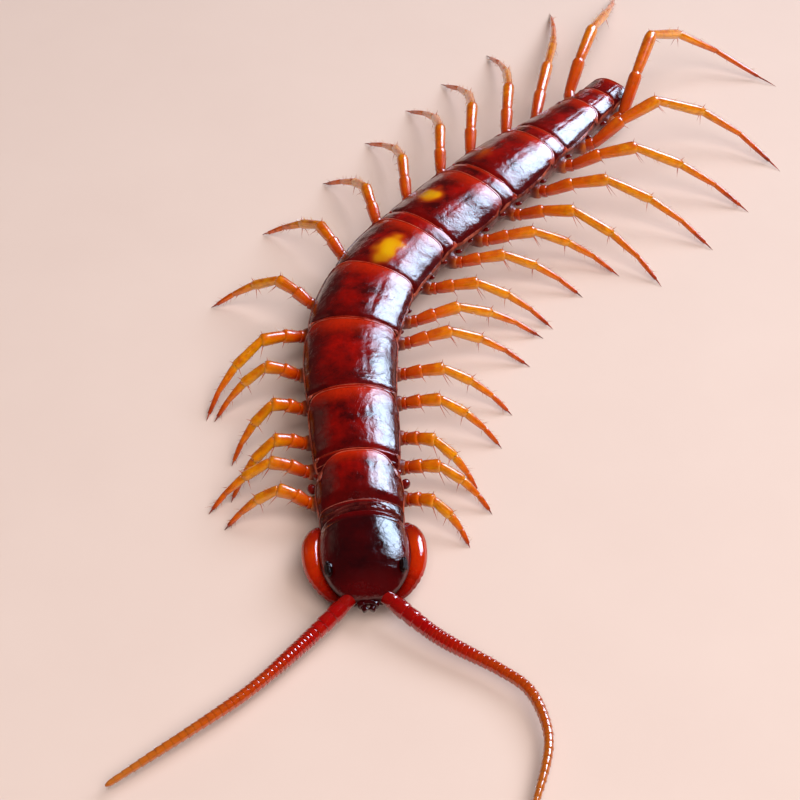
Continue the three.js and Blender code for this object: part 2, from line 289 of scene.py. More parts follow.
def copyOnto(name, copies):
    # one mesh from many placed copies; each is (model, matrix, low, high), where low and high are
    # what its mark "along" runs between over the model's length
    points, faces, along = [], [], []
    for model, matrix, low, high in copies:
        base = len(points)
        for vertex in model.data.vertices:
            points.append(matrix @ vertex.co)
            along.append(lerp(low, high, vertex.co.y))
        for face in model.data.polygons:
            faces.append([base + index for index in face.vertices])
    mesh = bpy.data.meshes.new(name)
    mesh.from_pydata(points, [], faces)
    layer = mesh.attributes.new("along", "FLOAT", "POINT")
    layer.data.foreach_set("value", along)
    piece = bpy.data.objects.new(name, mesh)
    bpy.context.collection.objects.link(piece)
    return piece


def settle(piece, bent):
    for vertex in piece.data.vertices:
        x, s, z = vertex.co
        vertex.co = (at(s, x, z) if bent else vertex.co) * mm
    piece.data.update()


def dress(piece, finish, nodes, angle=50, bent=True):
    # sets the piece in its place and gives it its finish and body, and hides the nodes it replaces
    settle(piece, bent)
    take(piece)
    bpy.ops.object.shade_smooth_by_angle(angle=math.radians(angle))
    piece.data.materials.clear()
    piece.data.materials.append(finish)
    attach(piece, "root")
    if nodes:
        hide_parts(*nodes)


def joinPieces(name, parts):
    dropAll()
    for part in parts:
        part.select_set(True)
    bpy.context.view_layer.objects.active = parts[0]
    bpy.ops.object.join()
    parts[0].name = name
    return parts[0]


def smoothPath(points, count):
    # a centripetal curve through the points, as evenly spaced samples; it is first traced in fine
    # steps from point to point
    fine, least = 60, 1e-4
    ends = [points[0] * 2 - points[1], *points, points[-1] * 2 - points[-2]]
    samples = []
    for index in range(1, len(ends) - 2):
        p0, p1, p2, p3 = ends[index - 1 : index + 3]
        gaps = ((p0, p1), (p1, p2), (p2, p3))
        t0, t1, t2 = [max((b - a).length_squared ** 0.25, least) for a, b in gaps]
        m1 = ((p1 - p0) / t0 - (p2 - p0) / (t0 + t1) + (p2 - p1) / t1) * t1
        m2 = ((p2 - p1) / t1 - (p3 - p1) / (t1 + t2) + (p3 - p2) / t2) * t1
        for step in range(fine):
            start, leave, end, arrive = curveShares(step / fine)
            samples.append(p1 * start + m1 * leave + p2 * end + m2 * arrive)
    samples.append(points[-1])
    reached = [0.0]
    for a, b in zip(samples, samples[1:]):
        reached.append(reached[-1] + (b - a).length)
    even, index = [], 0
    for step in range(count + 1):
        goal = reached[-1] * step / count
        while index < len(samples) - 2 and reached[index + 1] < goal:
            index += 1
        gap = reached[index + 1] - reached[index]
        even.append(samples[index].lerp(samples[index + 1], (goal - reached[index]) / gap))
    return even


def pathPoint(path, part):
    place = max(0.0, min(1.0, part)) * (len(path) - 1)
    index = min(int(place), len(path) - 2)
    return path[index].lerp(path[index + 1], place - index)


def tone(red, green, blue):
    # a colour as a picture shows it, 0 to 255, in the linear values that a shader takes
    parts = [c / 255 for c in (red, green, blue)]
    return (*[c / 12.92 if c <= 0.04045 else ((c + 0.055) / 1.055) ** 2.4 for c in parts], 1)


class Finish:
    def __init__(self, name, values):
        self.material = bpy.data.materials.new(name)
        self.material.use_nodes = True
        self.nodes = self.material.node_tree.nodes
        self.links = self.material.node_tree.links
        self.shader = self.nodes["Principled BSDF"]
        for key, value in values.items():
            self.shader.inputs[key].default_value = value
        self.place = self.nodes.new("ShaderNodeTexCoord").outputs["Object"]

    def add(self, kind, inputs, **settings):
        # a socket among the inputs is linked, anything else is set
        node = self.nodes.new(kind)
        for key, value in settings.items():
            setattr(node, key, value)
        for key, value in inputs.items():
            if isinstance(value, bpy.types.NodeSocket):
                self.links.new(value, node.inputs[key])
            else:
                node.inputs[key].default_value = value
        return node

    def drive(self, socketName, value):
        self.links.new(value, self.shader.inputs[socketName])

    def grain(self, size, detail=3, rough=0.5, warp=0):
        return self.add("ShaderNodeTexNoise", {
            "Vector": self.place, "Scale": 1 / (size * mm), "Detail": detail, "Roughness": rough,
            "Distortion": warp,
        }).outputs["Fac"]

    def cells(self, size, feature="F1"):
        inputs = {"Vector": self.place, "Scale": 1 / (size * mm), "Randomness": 1}
        return self.add("ShaderNodeTexVoronoi", inputs, feature=feature).outputs["Distance"]

    def kept(self, name):
        return self.add("ShaderNodeAttribute", {}, attribute_name=name).outputs["Fac"]

    def span(self, value, low, high, start=0, end=1):
        inputs = {"Value": value, "From Min": low, "From Max": high, "To Min": start, "To Max": end}
        return self.add("ShaderNodeMapRange", inputs).outputs["Result"]

    def patches(self, size, detail, rough, low, high, start=0, end=1):
        return self.span(self.grain(size, detail, rough), low, high, start, end)

    def ramp(self, value, stops):
        node = self.add("ShaderNodeValToRGB", {"Fac": value})
        elements = node.color_ramp.elements
        while len(elements) < len(stops):
            elements.new(0.5)
        for element, (place, colour) in zip(elements, stops):
            element.position = place
            element.color = tone(*colour)
        return node.outputs["Color"]

    def mix(self, part, first, second):
        # these are the numbers of a Mix node's factor, its two colours and its colour result
        inputs = {0: part, 6: first, 7: second}
        return self.add("ShaderNodeMix", inputs, data_type="RGBA", blend_type="MIX").outputs[2]

    def sums(self, kind, first, second):
        return self.add("ShaderNodeMath", {0: first, 1: second}, operation=kind).outputs["Value"]

    def relief(self, *layers):
        # each layer is (height, depth in mm); they are stacked, coarse first
        normal = None
        for height, depth in layers:
            inputs = {"Height": height, "Distance": depth * mm, "Strength": 1.0}
            if normal:
                inputs["Normal"] = normal
            normal = self.add("ShaderNodeBump", inputs).outputs["Normal"]
        for socketName in ("Normal", "Coat Normal"):
            self.drive(socketName, normal)


# Lacquered horn: deep red, redder where it thins, with fine pits and a wrinkled gloss; painted
# shade on its sides, front and underside, a painted highlight along its rims, and a painted glow in
# some plates.
lacquer = {
    "gloss": {"Coat Roughness": 0.05, "Coat IOR": 1.5, "IOR": 1.5, "Specular IOR Level": 0.22},
    "coat": 0.9,
    # patterns: size in mm, detail, roughness, the range that counts and what it is spread over
    "clouds": (0.9, 4, 0.6, 0.35, 0.68),
    "speckles": (0.12, 3, 0.7, 0.4, 0.75, 0, 0.3),
    # patches of painted highlight along the rims
    "rimHighlight": (0.45, 3, 0.6, 0.38, 0.66, 0.06, 0.55),
    "shine": (0.25, 4, 0.65, 0.3, 0.8),
    "shineSpread": 0.16,
    "paintedGlow": [(0.35, (190, 70, 0)), (0.75, (212, 140, 0)), (1.0, (216, 158, 2))],
    "paintedGlowEdge": (0.05, 0.6),
    "shadeDeep": 0.88,
    "shadeUnder": 0.75,
    "dullUnder": 0.35,
    # the relief: its patterns, and their depths in mm
    "swell": (0.5, 2, 0.5, 0.6),
    "wrinkle": (0.24, 5, 0.62, 0.8),
    "wrinkleRange": (0.3, 0.7),
    "crack": (0.3, 0.06),
    "pit": (0.17, 0.02, 0.3),
    "grit": (0.06, 2, 0.5),
    "depths": {"swell": 0.012, "wrinkle": 0.007, "crack": 0.001, "pit": 0.002, "grit": 0.0008},
    # the colours where it is deep, bright and thin, the painted highlight on its rims, and its
    # roughness
    "plateLacquer": ((58, 0, 1), (148, 6, 0), (196, 38, 0), (206, 104, 78), 0.14),
    "headLacquer": ((26, 0, 2), (54, 0, 2), (106, 1, 2), (106, 1, 2), 0.09),
    "neckLacquer": ((48, 0, 2), (92, 0, 1), (120, 4, 1), (206, 116, 100), 0.09),
    "knobLacquer": ((60, 1, 2), (96, 4, 3), (140, 20, 6), (140, 20, 6), 0.14),
}


def makeShieldFinish(name):
    finish = Finish(name, lacquer["gloss"])
    *colours, roughness = lacquer[name]
    deep, bright, thin, rimHighlight = [tone(*colour) for colour in colours]
    under, paintedGlow = finish.kept("under"), finish.kept("paintedGlow")
    finish.drive("Coat Weight", finish.span(under, 0, 1, lacquer["coat"], 0.0))
    base = finish.mix(finish.patches(*lacquer["clouds"]), deep, bright)
    base = finish.mix(finish.kept("rim"), base, thin)
    base = finish.mix(finish.patches(*lacquer["speckles"]), base, deep)
    # a painted glow of light shining through some plates
    glow = finish.ramp(paintedGlow, [(0.0, colours[2]), *lacquer["paintedGlow"]])
    base = finish.mix(finish.span(paintedGlow, *lacquer["paintedGlowEdge"]), base, glow)
    # painted shade, with some of the horn's own darker tone, on the plates' sides and front
    base = finish.mix(finish.span(finish.kept("deep"), 0, 1, 0, lacquer["shadeDeep"]), base, deep)
    # painted shade on faces that turn down to the floor
    base = finish.mix(finish.span(under, 0, 1, 0, lacquer["shadeUnder"]), base, deep)
    # a painted highlight along the raised rims, broken into patches
    rimHighlightShare = finish.sums("MULTIPLY", finish.kept("edge"), finish.patches(*lacquer["rimHighlight"]))
    finish.drive("Base Color", finish.mix(rimHighlightShare, base, rimHighlight))
    shine = finish.patches(*lacquer["shine"], roughness, roughness + lacquer["shineSpread"])
    dull = finish.span(under, 0, 1, 0, lacquer["dullUnder"])
    finish.drive("Roughness", finish.sums("ADD", shine, dull))
    crackSize, crackWidth = lacquer["crack"]
    pitSize, *pitRange = lacquer["pit"]
    layers = {
        "swell": finish.grain(*lacquer["swell"]),
        "wrinkle": finish.span(finish.grain(*lacquer["wrinkle"]), *lacquer["wrinkleRange"]),
        "crack": finish.span(finish.cells(crackSize, "DISTANCE_TO_EDGE"), 0.0, crackWidth),
        "pit": finish.span(finish.cells(pitSize), *pitRange),
        "grit": finish.grain(*lacquer["grit"]),
    }
    finish.relief(*[(layers[layer], depth) for layer, depth in lacquer["depths"].items()])
    return finish.material


plateFinish = makeShieldFinish("plateLacquer")
headFinish = makeShieldFinish("headLacquer")
neckFinish = makeShieldFinish("neckLacquer")

# Back plates: a flat sheet is cut to the plate's outline, given a raised rim, thickness and rounded
# edges, and then pressed over the body's arch. Sizes are in mm, places are parts of the plate.
plateShape = {
    "columns": 34,
    "rowSize": 0.17,
    "leastRows": 6,
    "overlap": 0.2,
    "rimWidth": 0.04,
    "rimRise": 0.025,
    "frontRound": 0.12,
    "frontHorn": 0.2,
    "thickness": 0.07,
    "bevel": 0.012,
    # rounding of the rear corners, how much lower it lies, its arch, and its width along it
    "neck": (0.22, 0.08, 1.1, [(0, 0.92), (0.5, 0.97), (1, 0.96)]),
    "first": (0.85, 0, 1.2, [(0, 0.97), (0.35, 1.02), (0.75, 0.98), (1, 0.86)]),
    "short": (0.3, 0.06, 1, [(0, 0.92), (0.3, 0.95), (0.8, 0.95), (1, 0.9)]),
    "long": (0.5, 0, 1, [(0, 0.94), (0.1, 0.985), (0.5, 1.0), (0.86, 0.99), (1, 0.95)]),
    # how far the front of a long plate lies forward over the short one before it
    "forward": {3: 0.57, 5: 0.68, 7: 0.64, 10: 0.5, 12: 0.5, 14: 0.45},
    # the press: how far out it reaches, and what it raises, tucks under, furrows and wrinkles
    "widest": 1.08,
    "crown": 0.06,
    "edgeFrom": 0.86,
    "tuck": 0.16,
    "tuckOver": (0.3, 0.04),
    "lift": 0.05,
    "liftFrom": 0.55,
    "inner": (0.1, 0.3, 0.7, 0.92),
    "furrow": (0.34, 0.06, 0.008),
    "ripple": (0.03, 0.9, 0.8, 3.7),
    "crease": (0.014, 3.6, 2.2, 1.9),
    "creaseMiddle": 0.3,
    # light comes through where the plate thins towards its rear
    "thinFrom": 0.72,
    "thinShare": 0.7,
    # darker sides and front, partly the horn's own tone and partly painted shade: the sides, their
    # loss at the rear, and the front
    "shadeSides": (0.3, 0.86),
    "shadeLoss": (0.5, 0.75),
    "shadeFrom": 0.05,
    "shadeFront": (0.5, 0.6),
    "shadeFirst": (0.75, 0.85),
    # a painted glow of light through some plates: left of the midline in mm, along it, its spread
    # in mm and its strength
    "glow": {
        8: (0.0, 0.42, (0.66, 1.2), 1),
        10: (-0.62, 0.46, (0.7, 0.7), 0.9),
        12: (-0.75, 0.36, (0.6, 0.7), 0.4),
    },
    "glowEdge": (0.1, 1.1),
    "glowWander": (0.3, 2.5, 2.5, 1),
}


def stationWidth(stations, v):
    for (low, a), (high, b) in zip(stations, stations[1:]):
        if v <= high:
            return lerp(a, b, smoothstep(v, low, high))
    return stations[-1][1]


def cutPlate(number, start, reach, corner, stations):
    # the flat outline with its rim
    def place(u, along):
        v = (along + 1) / 2
        s = start + reach * v
        wide = halfWidth(s) * stationWidth(stations, v)
        inCorner = max(0.0, (abs(u) * wide - (wide - corner)) / corner)
        rounded = corner * (1 - math.sqrt(max(0.0, 1 - inCorner * inCorner)))
        front = plateShape["frontRound"] * rounded * (1 - v) ** 3
        front -= plateShape["frontHorn"] * u * u * (1 - v) ** 2
        margin = lerp(rearMargin(number - 1, u), rearMargin(number, u), v)
        return u * wide, s + margin - rounded * v ** 3 + front, 0

    rows = max(plateShape["leastRows"], round(reach / plateShape["rowSize"]))
    plate = makeSheet(plateShape["columns"], rows, place)
    plate.name = f"plate_{number:02d}"
    openPiece(plate)
    bpy.ops.mesh.inset(thickness=plateShape["rimWidth"], depth=0)
    bpy.ops.mesh.select_all(action="INVERT")
    rise = (0, 0, plateShape["rimRise"])
    bpy.ops.mesh.extrude_region_move(TRANSFORM_OT_translate={"value": rise})
    closePiece()
    band = {index for face in plate.data.polygons if face.select for index in face.vertices}
    mark(plate, "edge", lambda vertex: float(vertex.index in band))
    fitModifier(plate, "SOLIDIFY", thickness=plateShape["thickness"], offset=-1)
    fitModifier(plate, "BEVEL", width=plateShape["bevel"], segments=1, limit_method="ANGLE")
    fitModifier(plate, "SUBSURF", levels=1, render_levels=1)
    return plate


def makePlate(number, start, length, kind):
    shape = plateShape
    corner, lower, arched, stations = shape[kind]
    reach = length + shape["overlap"]
    plate = cutPlate(number, start, reach, min(corner, reach * 0.5), stations)

    def along(vertex):
        return (vertex.co.y - start) / reach

    # darker sides and front of the plate: partly its own tone, partly painted shade
    def depth(vertex):
        place, v = vertex.co, along(vertex)
        share, loseFrom = shape["shadeLoss"]
        sides = smoothstep(abs(place.x) / halfWidth(place.y), *shape["shadeSides"])
        end, frontShare = shape["shadeFirst" if kind == "first" else "shadeFront"]
        front = 1 - smoothstep(v, shape["shadeFrom"], end)
        return max(sides * (1 - share * smoothstep(v, loseFrom, 1)), front * frontShare)

    # how strongly the painted glow of light through the plate shows here
    def glow(vertex):
        if number not in shape["glow"]:
            return 0.0
        x, v, size, strength = shape["glow"][number]
        place = vertex.co
        away = math.hypot((place.x - x) / size[0], (along(vertex) - v) * reach / size[1])
        away += wander(shape["glowWander"], place.x, place.y, number)
        return strength * (1 - smoothstep(away, *shape["glowEdge"]))

    thinFrom, thinShare = shape["thinFrom"], shape["thinShare"]
    mark(plate, "rim", lambda vertex: smoothstep(along(vertex), thinFrom, 1.0) * thinShare)
    mark(plate, "deep", depth)
    mark(plate, "paintedGlow", glow)
    tuckLength, tuckMore = shape["tuckOver"]
    grow, grown, fade, faded = shape["inner"]
    furrowPlace, furrowWidth, furrowDepth = shape["furrow"]
    for vertex in plate.data.vertices:
        x, s, z = vertex.co
        v = (s - start) / reach
        wide = halfWidth(s)
        u = min(abs(x) / wide, shape["widest"])
        arch = body["arch"] * wide * u ** body["archPower"] * arched
        arch += shape["crown"] * (2 * v - 1) ** 2
        edge = body["edge"] * smoothstep(u, shape["edgeFrom"], 1)
        tuck = shape["tuck"] * (1 - smoothstep(v, 0, tuckLength / reach + tuckMore))
        lift = shape["lift"] * smoothstep(v, shape["liftFrom"], 1)
        inner = smoothstep(v, grow, grown) * (1 - smoothstep(v, fade, faded))
        furrow = furrowDepth * hump(u, furrowPlace, furrowWidth) * inner
        ripple = wander(shape["ripple"], x, s, number) * inner
        crease = wander(shape["crease"], x, s, number) * (shape["creaseMiddle"] + u * u)
        height = z + ridge(s) - lower - arch - edge - tuck + lift - furrow + ripple + crease
        vertex.co.z = height
    plate.data.update()
    markUnder(plate)
    return plate


plateCount = len(body["plates"])
for number in range(1, plateCount + 1):
    kind = "first" if number == 1 else "short" if number in body["short"] else "long"
    start = plateStart(number) - plateShape["forward"].get(number, 0)
    length = plateStart(number + 1) - plateShape["forward"].get(number + 1, 0) - start
    plate = makePlate(number, start, length, kind)
    dress(plate, plateFinish, [f"segment_{number:02d}"])
print("back plates made:", plateCount)

# Head: a low dome over a flatter underside, with a raised rear rim and a crease round its sides.
headShape = {
    "sides": 72,
    "levels": 64,
    # station, half width, top and underside
    "rows": [
        (0.03, 0.02, 0.99, 0.93), (0.06, 0.44, 1.11, 0.87), (0.17, 0.73, 1.28, 0.85),
        (0.43, 1.02, 1.48, 0.86), (0.85, 1.27, 1.74, 0.88), (1.4, 1.41, 1.9, 0.9),
        (2.0, 1.45, 1.99, 0.9), (2.5, 1.39, 2.04, 0.9), (2.72, 1.33, 2.03, 0.9),
        (2.84, 1.27, 2.02, 0.92), (2.94, 1.12, 1.95, 1.0), (2.97, 0.02, 1.5, 1.45),
    ],
    "middle": 0.3,
    "roundness": (0.95, 1.04),
    "width": 1.45,
    "over": (0.12, 0.4),
    # the rear rim, its groove and a second fine line run across the dome and curve with it:
    # station, rise and width of each
    "lines": [(2.86, 0.045, 0.045), (2.72, -0.03, 0.035), (2.5, -0.014, 0.03)],
    "lineBow": 0.14,
    # the suture across the front, and a short furrow on the midline behind it
    "suture": {"station": 0.95, "width": 0.05, "depth": 0.028, "bow": (0.1, 3.2)},
    "sutureGap": (0.1, 0.3),
    "furrow": {"width": 0.05, "depth": 0.025, "ends": (0.45, 0.95)},
    # the crease between the dome and the sides, and the flange over it: height, width and size
    "creases": [(0.22, 0.06, 0.02), (0.1, 0.07, -0.03)],
    "creaseFrom": (0.2, 0.8),
    "lump": (0.02, 1.3, 1.3, 1),
    # where the horn is thin: from, to, and how much
    "thinSide": (0.95, 1.45, 0.75),
    "thinFront": (0.3, 1.0, 0.3),
    "thinRear": (2.55, 2.9, 0.55),
}


def headPoint(level, turn):
    s, wide, top, under = rowAt(headShape, level)
    up, out = math.cos(turn), math.sin(turn)
    middle = lerp(under, top, headShape["middle"])
    reach = top - middle if up > 0 else under - middle
    outPower, upPower = headShape["roundness"]
    x = wide * bowed(out, outPower)
    z = middle + reach * abs(up) ** upPower
    u = abs(x) / headShape["width"]
    over = smoothstep(up, *headShape["over"])
    for station, rise, width in headShape["lines"]:
        z += over * rise * hump(s + headShape["lineBow"] * u * u, station, width)
    suture, furrow = headShape["suture"], headShape["furrow"]
    bow, bowRate = suture["bow"]
    dip = hump(s - bow * math.cos(u * bowRate), suture["station"], suture["width"])
    z -= over * suture["depth"] * dip * smoothstep(u, *headShape["sutureGap"])
    dip = hump(x, 0, furrow["width"])
    z -= over * furrow["depth"] * dip * (1 - smoothstep(s, *furrow["ends"]))
    started = smoothstep(s, *headShape["creaseFrom"])
    creases = headShape["creases"]
    push = sum(size * (hump(up, high, width) * started) for high, width, size in creases)
    x += math.copysign(push, x) if abs(x) > 0.01 else 0
    return Vector((x, s, z + wander(headShape["lump"], x, s, 5) * over))


def headThin(vertex):
    x, s, z = vertex.co
    low, high, share = headShape["thinSide"]
    side = smoothstep(abs(x), low, high) * share
    low, high, share = headShape["thinFront"]
    front = (1 - smoothstep(s, low, high)) * share
    low, high, share = headShape["thinRear"]
    return max(side, front, smoothstep(s, low, high) * share)


headShield = pullSphere("headShield", headShape["sides"], headShape["levels"], headPoint)
mark(headShield, "rim", headThin)
markUnder(headShield)
dress(headShield, headFinish, ["head"])
print("head made")

# Thin horn that light sinks into: a colour along the piece, clouded, with a fine grain. The
# patterns are as in the lacquer, but their sizes are parts of the finish's own grain.
softHorn = {
    "clouds": (1, 3, 0.5, 0.35, 0.7, -0.04, 0.04),
    "shadedBack": (0.6, 3, 0.5, 0.3, 0.65, 0.1, 0.75),
    "shadedBackTone": (178, 58, 0),
    "shade": (0.5, 3, 0.5, 0.45, 0.75, 0, 0.35),
    "shadeTone": (110, 28, 4),
    "lumps": (0.35, 2, 0.006),
    "grit": (0.04, 2, 0.002),
}


def softGloss(rough, coat, coatRough, sink, radius, depth):
    # the shader's values for a surface that light sinks into, by a depth in mm
    return {
        "Roughness": rough, "Coat Weight": coat, "Coat Roughness": coatRough,
        "Subsurface Weight": sink, "Subsurface Radius": radius, "Subsurface Scale": depth * mm,
    }


def makeSoftFinish(name, size, gloss, stops):
    finish = Finish(name, gloss)

    def patches(key):
        share, *rest = softHorn[key]
        return finish.patches(size * share, *rest)

    base = finish.ramp(finish.sums("ADD", finish.kept("along"), patches("clouds")), stops)
    # a deeper red where a leg looks up: partly its own darker back, partly painted shading
    shadedBack = finish.sums("MULTIPLY", finish.kept("shadedBack"), patches("shadedBack"))
    base = finish.mix(shadedBack, base, tone(*softHorn["shadedBackTone"]))
    base = finish.mix(patches("shade"), base, tone(*softHorn["shadeTone"]))
    finish.drive("Base Color", base)
    finish.drive("Coat Weight", finish.span(finish.kept("under"), 0, 1, gloss["Coat Weight"], 0))
    share, detail, depth = softHorn["lumps"]
    fine, fineDetail, fineDepth = softHorn["grit"]
    finish.relief(
        (finish.grain(size * share, detail), depth), (finish.grain(fine, fineDetail), fineDepth)
    )
    return finish.material


legGloss = softGloss(0.26, 0.6, 0.1, 0.4, (1.0, 0.42, 0.1), 0.18)
legFinish = makeSoftFinish("legAmber", 0.5, legGloss, [
    (0.0, (150, 30, 0)), (0.08, (190, 66, 0)), (0.2, (208, 100, 0)), (0.36, (218, 136, 2)),
    (0.56, (224, 146, 4)), (0.7, (218, 118, 0)), (0.86, (200, 82, 0)), (0.94, (140, 36, 0)),
    (1.0, (30, 8, 6)),
])
feelerGloss = softGloss(0.14, 1.0, 0.05, 0.25, (1.0, 0.3, 0.08), 0.2)
feelerFinish = makeSoftFinish("antennaRed", 0.4, feelerGloss, [
    (0.0, (122, 0, 0)), (0.16, (150, 0, 0)), (0.32, (158, 24, 0)), (0.5, (168, 58, 2)),
    (0.75, (172, 84, 14)), (1.0, (174, 96, 30)),
])
fangGloss = softGloss(0.12, 0.7, 0.04, 0.6, (1.0, 0.22, 0.02), 0.3)
fangGloss["Specular IOR Level"] = 0.25
fangFinish = makeSoftFinish("fangGlow", 0.7, fangGloss, [
    (0.0, (88, 2, 0)), (0.15, (126, 6, 0)), (0.36, (182, 46, 0)), (0.56, (164, 26, 0)),
    (0.72, (116, 5, 0)), (0.88, (72, 2, 1)), (1.0, (14, 2, 2)),
])

# Skin of the trunk: one closed form from the neck to the tail, with a lump for every hip.
trunkShape = {
    "sides": 60,
    "levels": 170,
    "ends": (3.0, 30.5),
    "caps": (0.012, 0.02),
    "width": 0.9,
    "under": 0.14,
    "overBelly": 0.02,
    # the waist between two plates: depth, length as a part of the plate, share of it at the top
    # and at the belly
    "pinch": (0.05, 0.1, 1.2, 0.8),
    "tailCut": (0.35, 29.2),
    "arch": 1.05,
    "roundness": {"side": 0.62, "top": 0.45, "belly": 0.5},
    # folds of soft skin along the sides: depth, height of the band, folds up it and their sway
    "fold": (0.07, 0.3, 17, 0.6, 4),
    "voxel": 0.066,
    "smooth": (0.5, 3),
    "crinkles": [(0.02, 5, 3, 6), (0.012, 11, 8, 12)],
    "hipLength": 1.0,
    "hipOut": 0.2,
    "hipSize": (0.25, 0.28),
    "hipShare": 0.5,
    "hipSwing": 30,
    "hipTilt": 0.15,
    "glowOver": (0.75, 1.15),
}


def alongPlate(s):
    # how far along its plate a station lies, 0 to 1
    for number in range(plateCount, 0, -1):
        if s >= plateStart(number):
            return (s - plateStart(number)) / body["plates"][number - 1]
    return 0


def trunkPoint(level, turn):
    low, high = trunkShape["ends"]
    part = level / (trunkShape["levels"] - 1)
    s = lerp(low, high, part)
    frontCap, rearCap = trunkShape["caps"]
    cap = math.sqrt(max(0.0, min(1, part / frontCap) * min(1, (1 - part) / rearCap)))
    v = alongPlate(s)
    depth, size, atTop, atBelly = trunkShape["pinch"]
    pinch = depth * (hump(v, 0, size) + hump(v, 1, size))
    wide = halfWidth(s) * (trunkShape["width"] - pinch)
    cut, cutFrom = trunkShape["tailCut"]
    top = ridge(s) - trunkShape["under"] - pinch * atTop - cut * smoothstep(s, cutFrom, high)
    belly = body["belly"] - trunkShape["overBelly"] + pinch * atBelly
    up, out = math.cos(turn), math.sin(turn)
    middle = lerp(belly, top, 0.5)
    roundness = trunkShape["roundness"]
    u = bowed(out, roundness["side"])
    x = wide * u
    if up > 0:
        z = top - body["arch"] * wide * abs(u) ** body["archPower"] * trunkShape["arch"]
        z = lerp(middle, z, abs(up) ** roundness["top"])
    else:
        z = middle - (middle - belly) * abs(up) ** roundness["belly"]
    depth, band, count, sway, swayRate = trunkShape["fold"]
    fold = hump(up, 0, band)
    x += math.copysign(depth * fold * math.sin(z * count + sway * math.sin(s * swayRate)), x) * cap
    return Vector((x * cap, s, lerp(middle, z, cap)))


def rootHeight(s):
    return ridge(s) - body["arch"] * halfWidth(s) - body["edge"] - body["hip"]


# Legs: the pose of each pair, first to last, as in the solids.
legs = {
    "leftReach": [
        2.6, 3.3, 3.1, 3.75, 4.15, 4.7, 5.05, 4.75, 4.95, 5.4, 6.3, 7.1, 7.5, 8.1, 8.5,
    ],
    "leftSwing": [-36, -26, -34, -19, -12, 8, 20, 17, 29, 32, 12, 22, 28, 38, 68],
    "rightReach": [
        3.1, 3.65, 3.15, 3.0, 3.35, 4.7, 4.3, 4.6, 5.0, 6.0, 6.6, 7.2, 7.9, 10.2, 10.2,
    ],
    "rightSwing": [-2, -11, -28, -27, -18, -49, 3, 13, 24, 32, 37, 41, 46, 57, 66],
    "rootPart": {"last": 0.7, "short": 0.5, "long": 0.44},
    "rootOut": {"last": 1.12, "short": 0.97, "long": 0.97},
    "length": 4.2,
    "growth": 0.3,
    "lastExtra": (2.2, 12.5),
    "leastSpare": 0.6,
    "thicker": (0.12, 10),
    # bow of the legs to the rear, at the last pair, and the pair it starts to grow from
    "bow": 0.1,
    "lastBow": {1: 0.34, -1: 0.03},
    "bowFrom": {1: 13.5, -1: 11.5},
    "bowPeak": 5.4,
    # the knee over the root: for the front pairs, then by the length to spare, and more at the last
    "kneeLift": {1: 0.3, -1: 0.6},
    "rearKnee": (0.34, 0.22),
    "rearKneeOver": (9.5, 12.5),
    "lastLift": 0.45,
    "kneePart": 0.34,
    "seam": 0.25,
    "foot": 0.03,
    # part of the way to the foot, and height as a part of the knee's
    "heights": [
        (0, 0), (0.04, 0.14), (0.15, 0.62), (0.175, 0.7), (0.28, 0.95), (0.34, 1), (0.37, 0.98),
        (0.59, 0.66), (0.62, 0.62), (0.79, 0.34), (0.81, 0.31), (0.93, 0.08), (1, 0),
    ],
    # each length of the leg, where it starts and half its thickness in mm
    "lengths": [
        ("trochanter", -0.04, 0.225), ("prefemur", 0.03, 0.24), ("femur", 0.165, 0.23),
        ("tibia", 0.35, 0.18), ("tarsusOne", 0.6, 0.135), ("tarsusTwo", 0.8, 0.092),
        ("claw", 0.945, 0.036),
    ],
    "sides": 14,
    "flatten": 0.94,
    "clawIn": 0.08,
    # spines at the far end of a length: how long, and how much to the front or rear each leans
    "spines": {
        "prefemur": [(0.46, 0.4), (0.3, -0.6)],
        "femur": [(0.92, 0.15), (0.56, -0.5), (0.22, 2.7)],
        "tibia": [(0.58, 0.35), (0.46, -0.25), (0.2, 2.6), (0.16, -2.4)],
        "tarsusOne": [(0.14, 0.3)],
    },
    "spineThickness": 0.019,
    "spineTurn": 60,
    "spineRoot": (0.25, 0.8),
    "spineForward": 0.4,
    "spineTone": (0.86, 0.97),
    "bristles": 64,
    "bristleAlong": (0.12, 0.95),
    "bristleRoot": 0.9,
    "bristleForward": (0.7, 1.3),
    "bristleLength": (0.12, 0.26),
    "bristleThickness": 0.009,
    "bristleTone": (0.3, 0.9),
}

swell = [
    (-0.06, 0), (-0.06, 0.5), (-0.04, 0.74), (0.02, 0.84), (0.12, 0.9), (0.35, 0.97), (0.6, 1.02),
    (0.8, 1.06), (0.92, 1.05), (0.98, 0.96), (1.03, 0.78), (1.05, 0.5), (1.05, 0),
]
taper = [
    (-0.04, 0), (-0.04, 0.6), (-0.02, 0.94), (0.05, 1.08), (0.2, 1.1), (0.45, 1.02), (0.7, 0.9),
    (0.9, 0.78), (0.98, 0.72), (1.02, 0.5), (1.02, 0),
]
hook = [(0, 0), (0, 1), (0.2, 1.1), (0.45, 0.8), (0.75, 0.45), (0.95, 0.14), (1, 0)]


def turned(name, outline, sides, flat=1.0, sag=0.0):
    # a length of leg or feeler, one unit long, turned to its outline
    def place(level, turn):
        y, radius = outline[level]
        return Vector((radius * flat * math.sin(turn), y, radius * math.cos(turn) - sag * y * y))

    return pullSphere(name, sides, len(outline), place)


def spike(name, sides):
    dropAll()
    bpy.ops.mesh.primitive_cone_add(
        vertices=sides, radius1=1, radius2=0, depth=1, location=(0, 0.5, 0),
        rotation=(-math.pi / 2, 0, 0),
    )
    bpy.ops.object.transform_apply()
    piece = bpy.context.object
    piece.name = name
    return piece


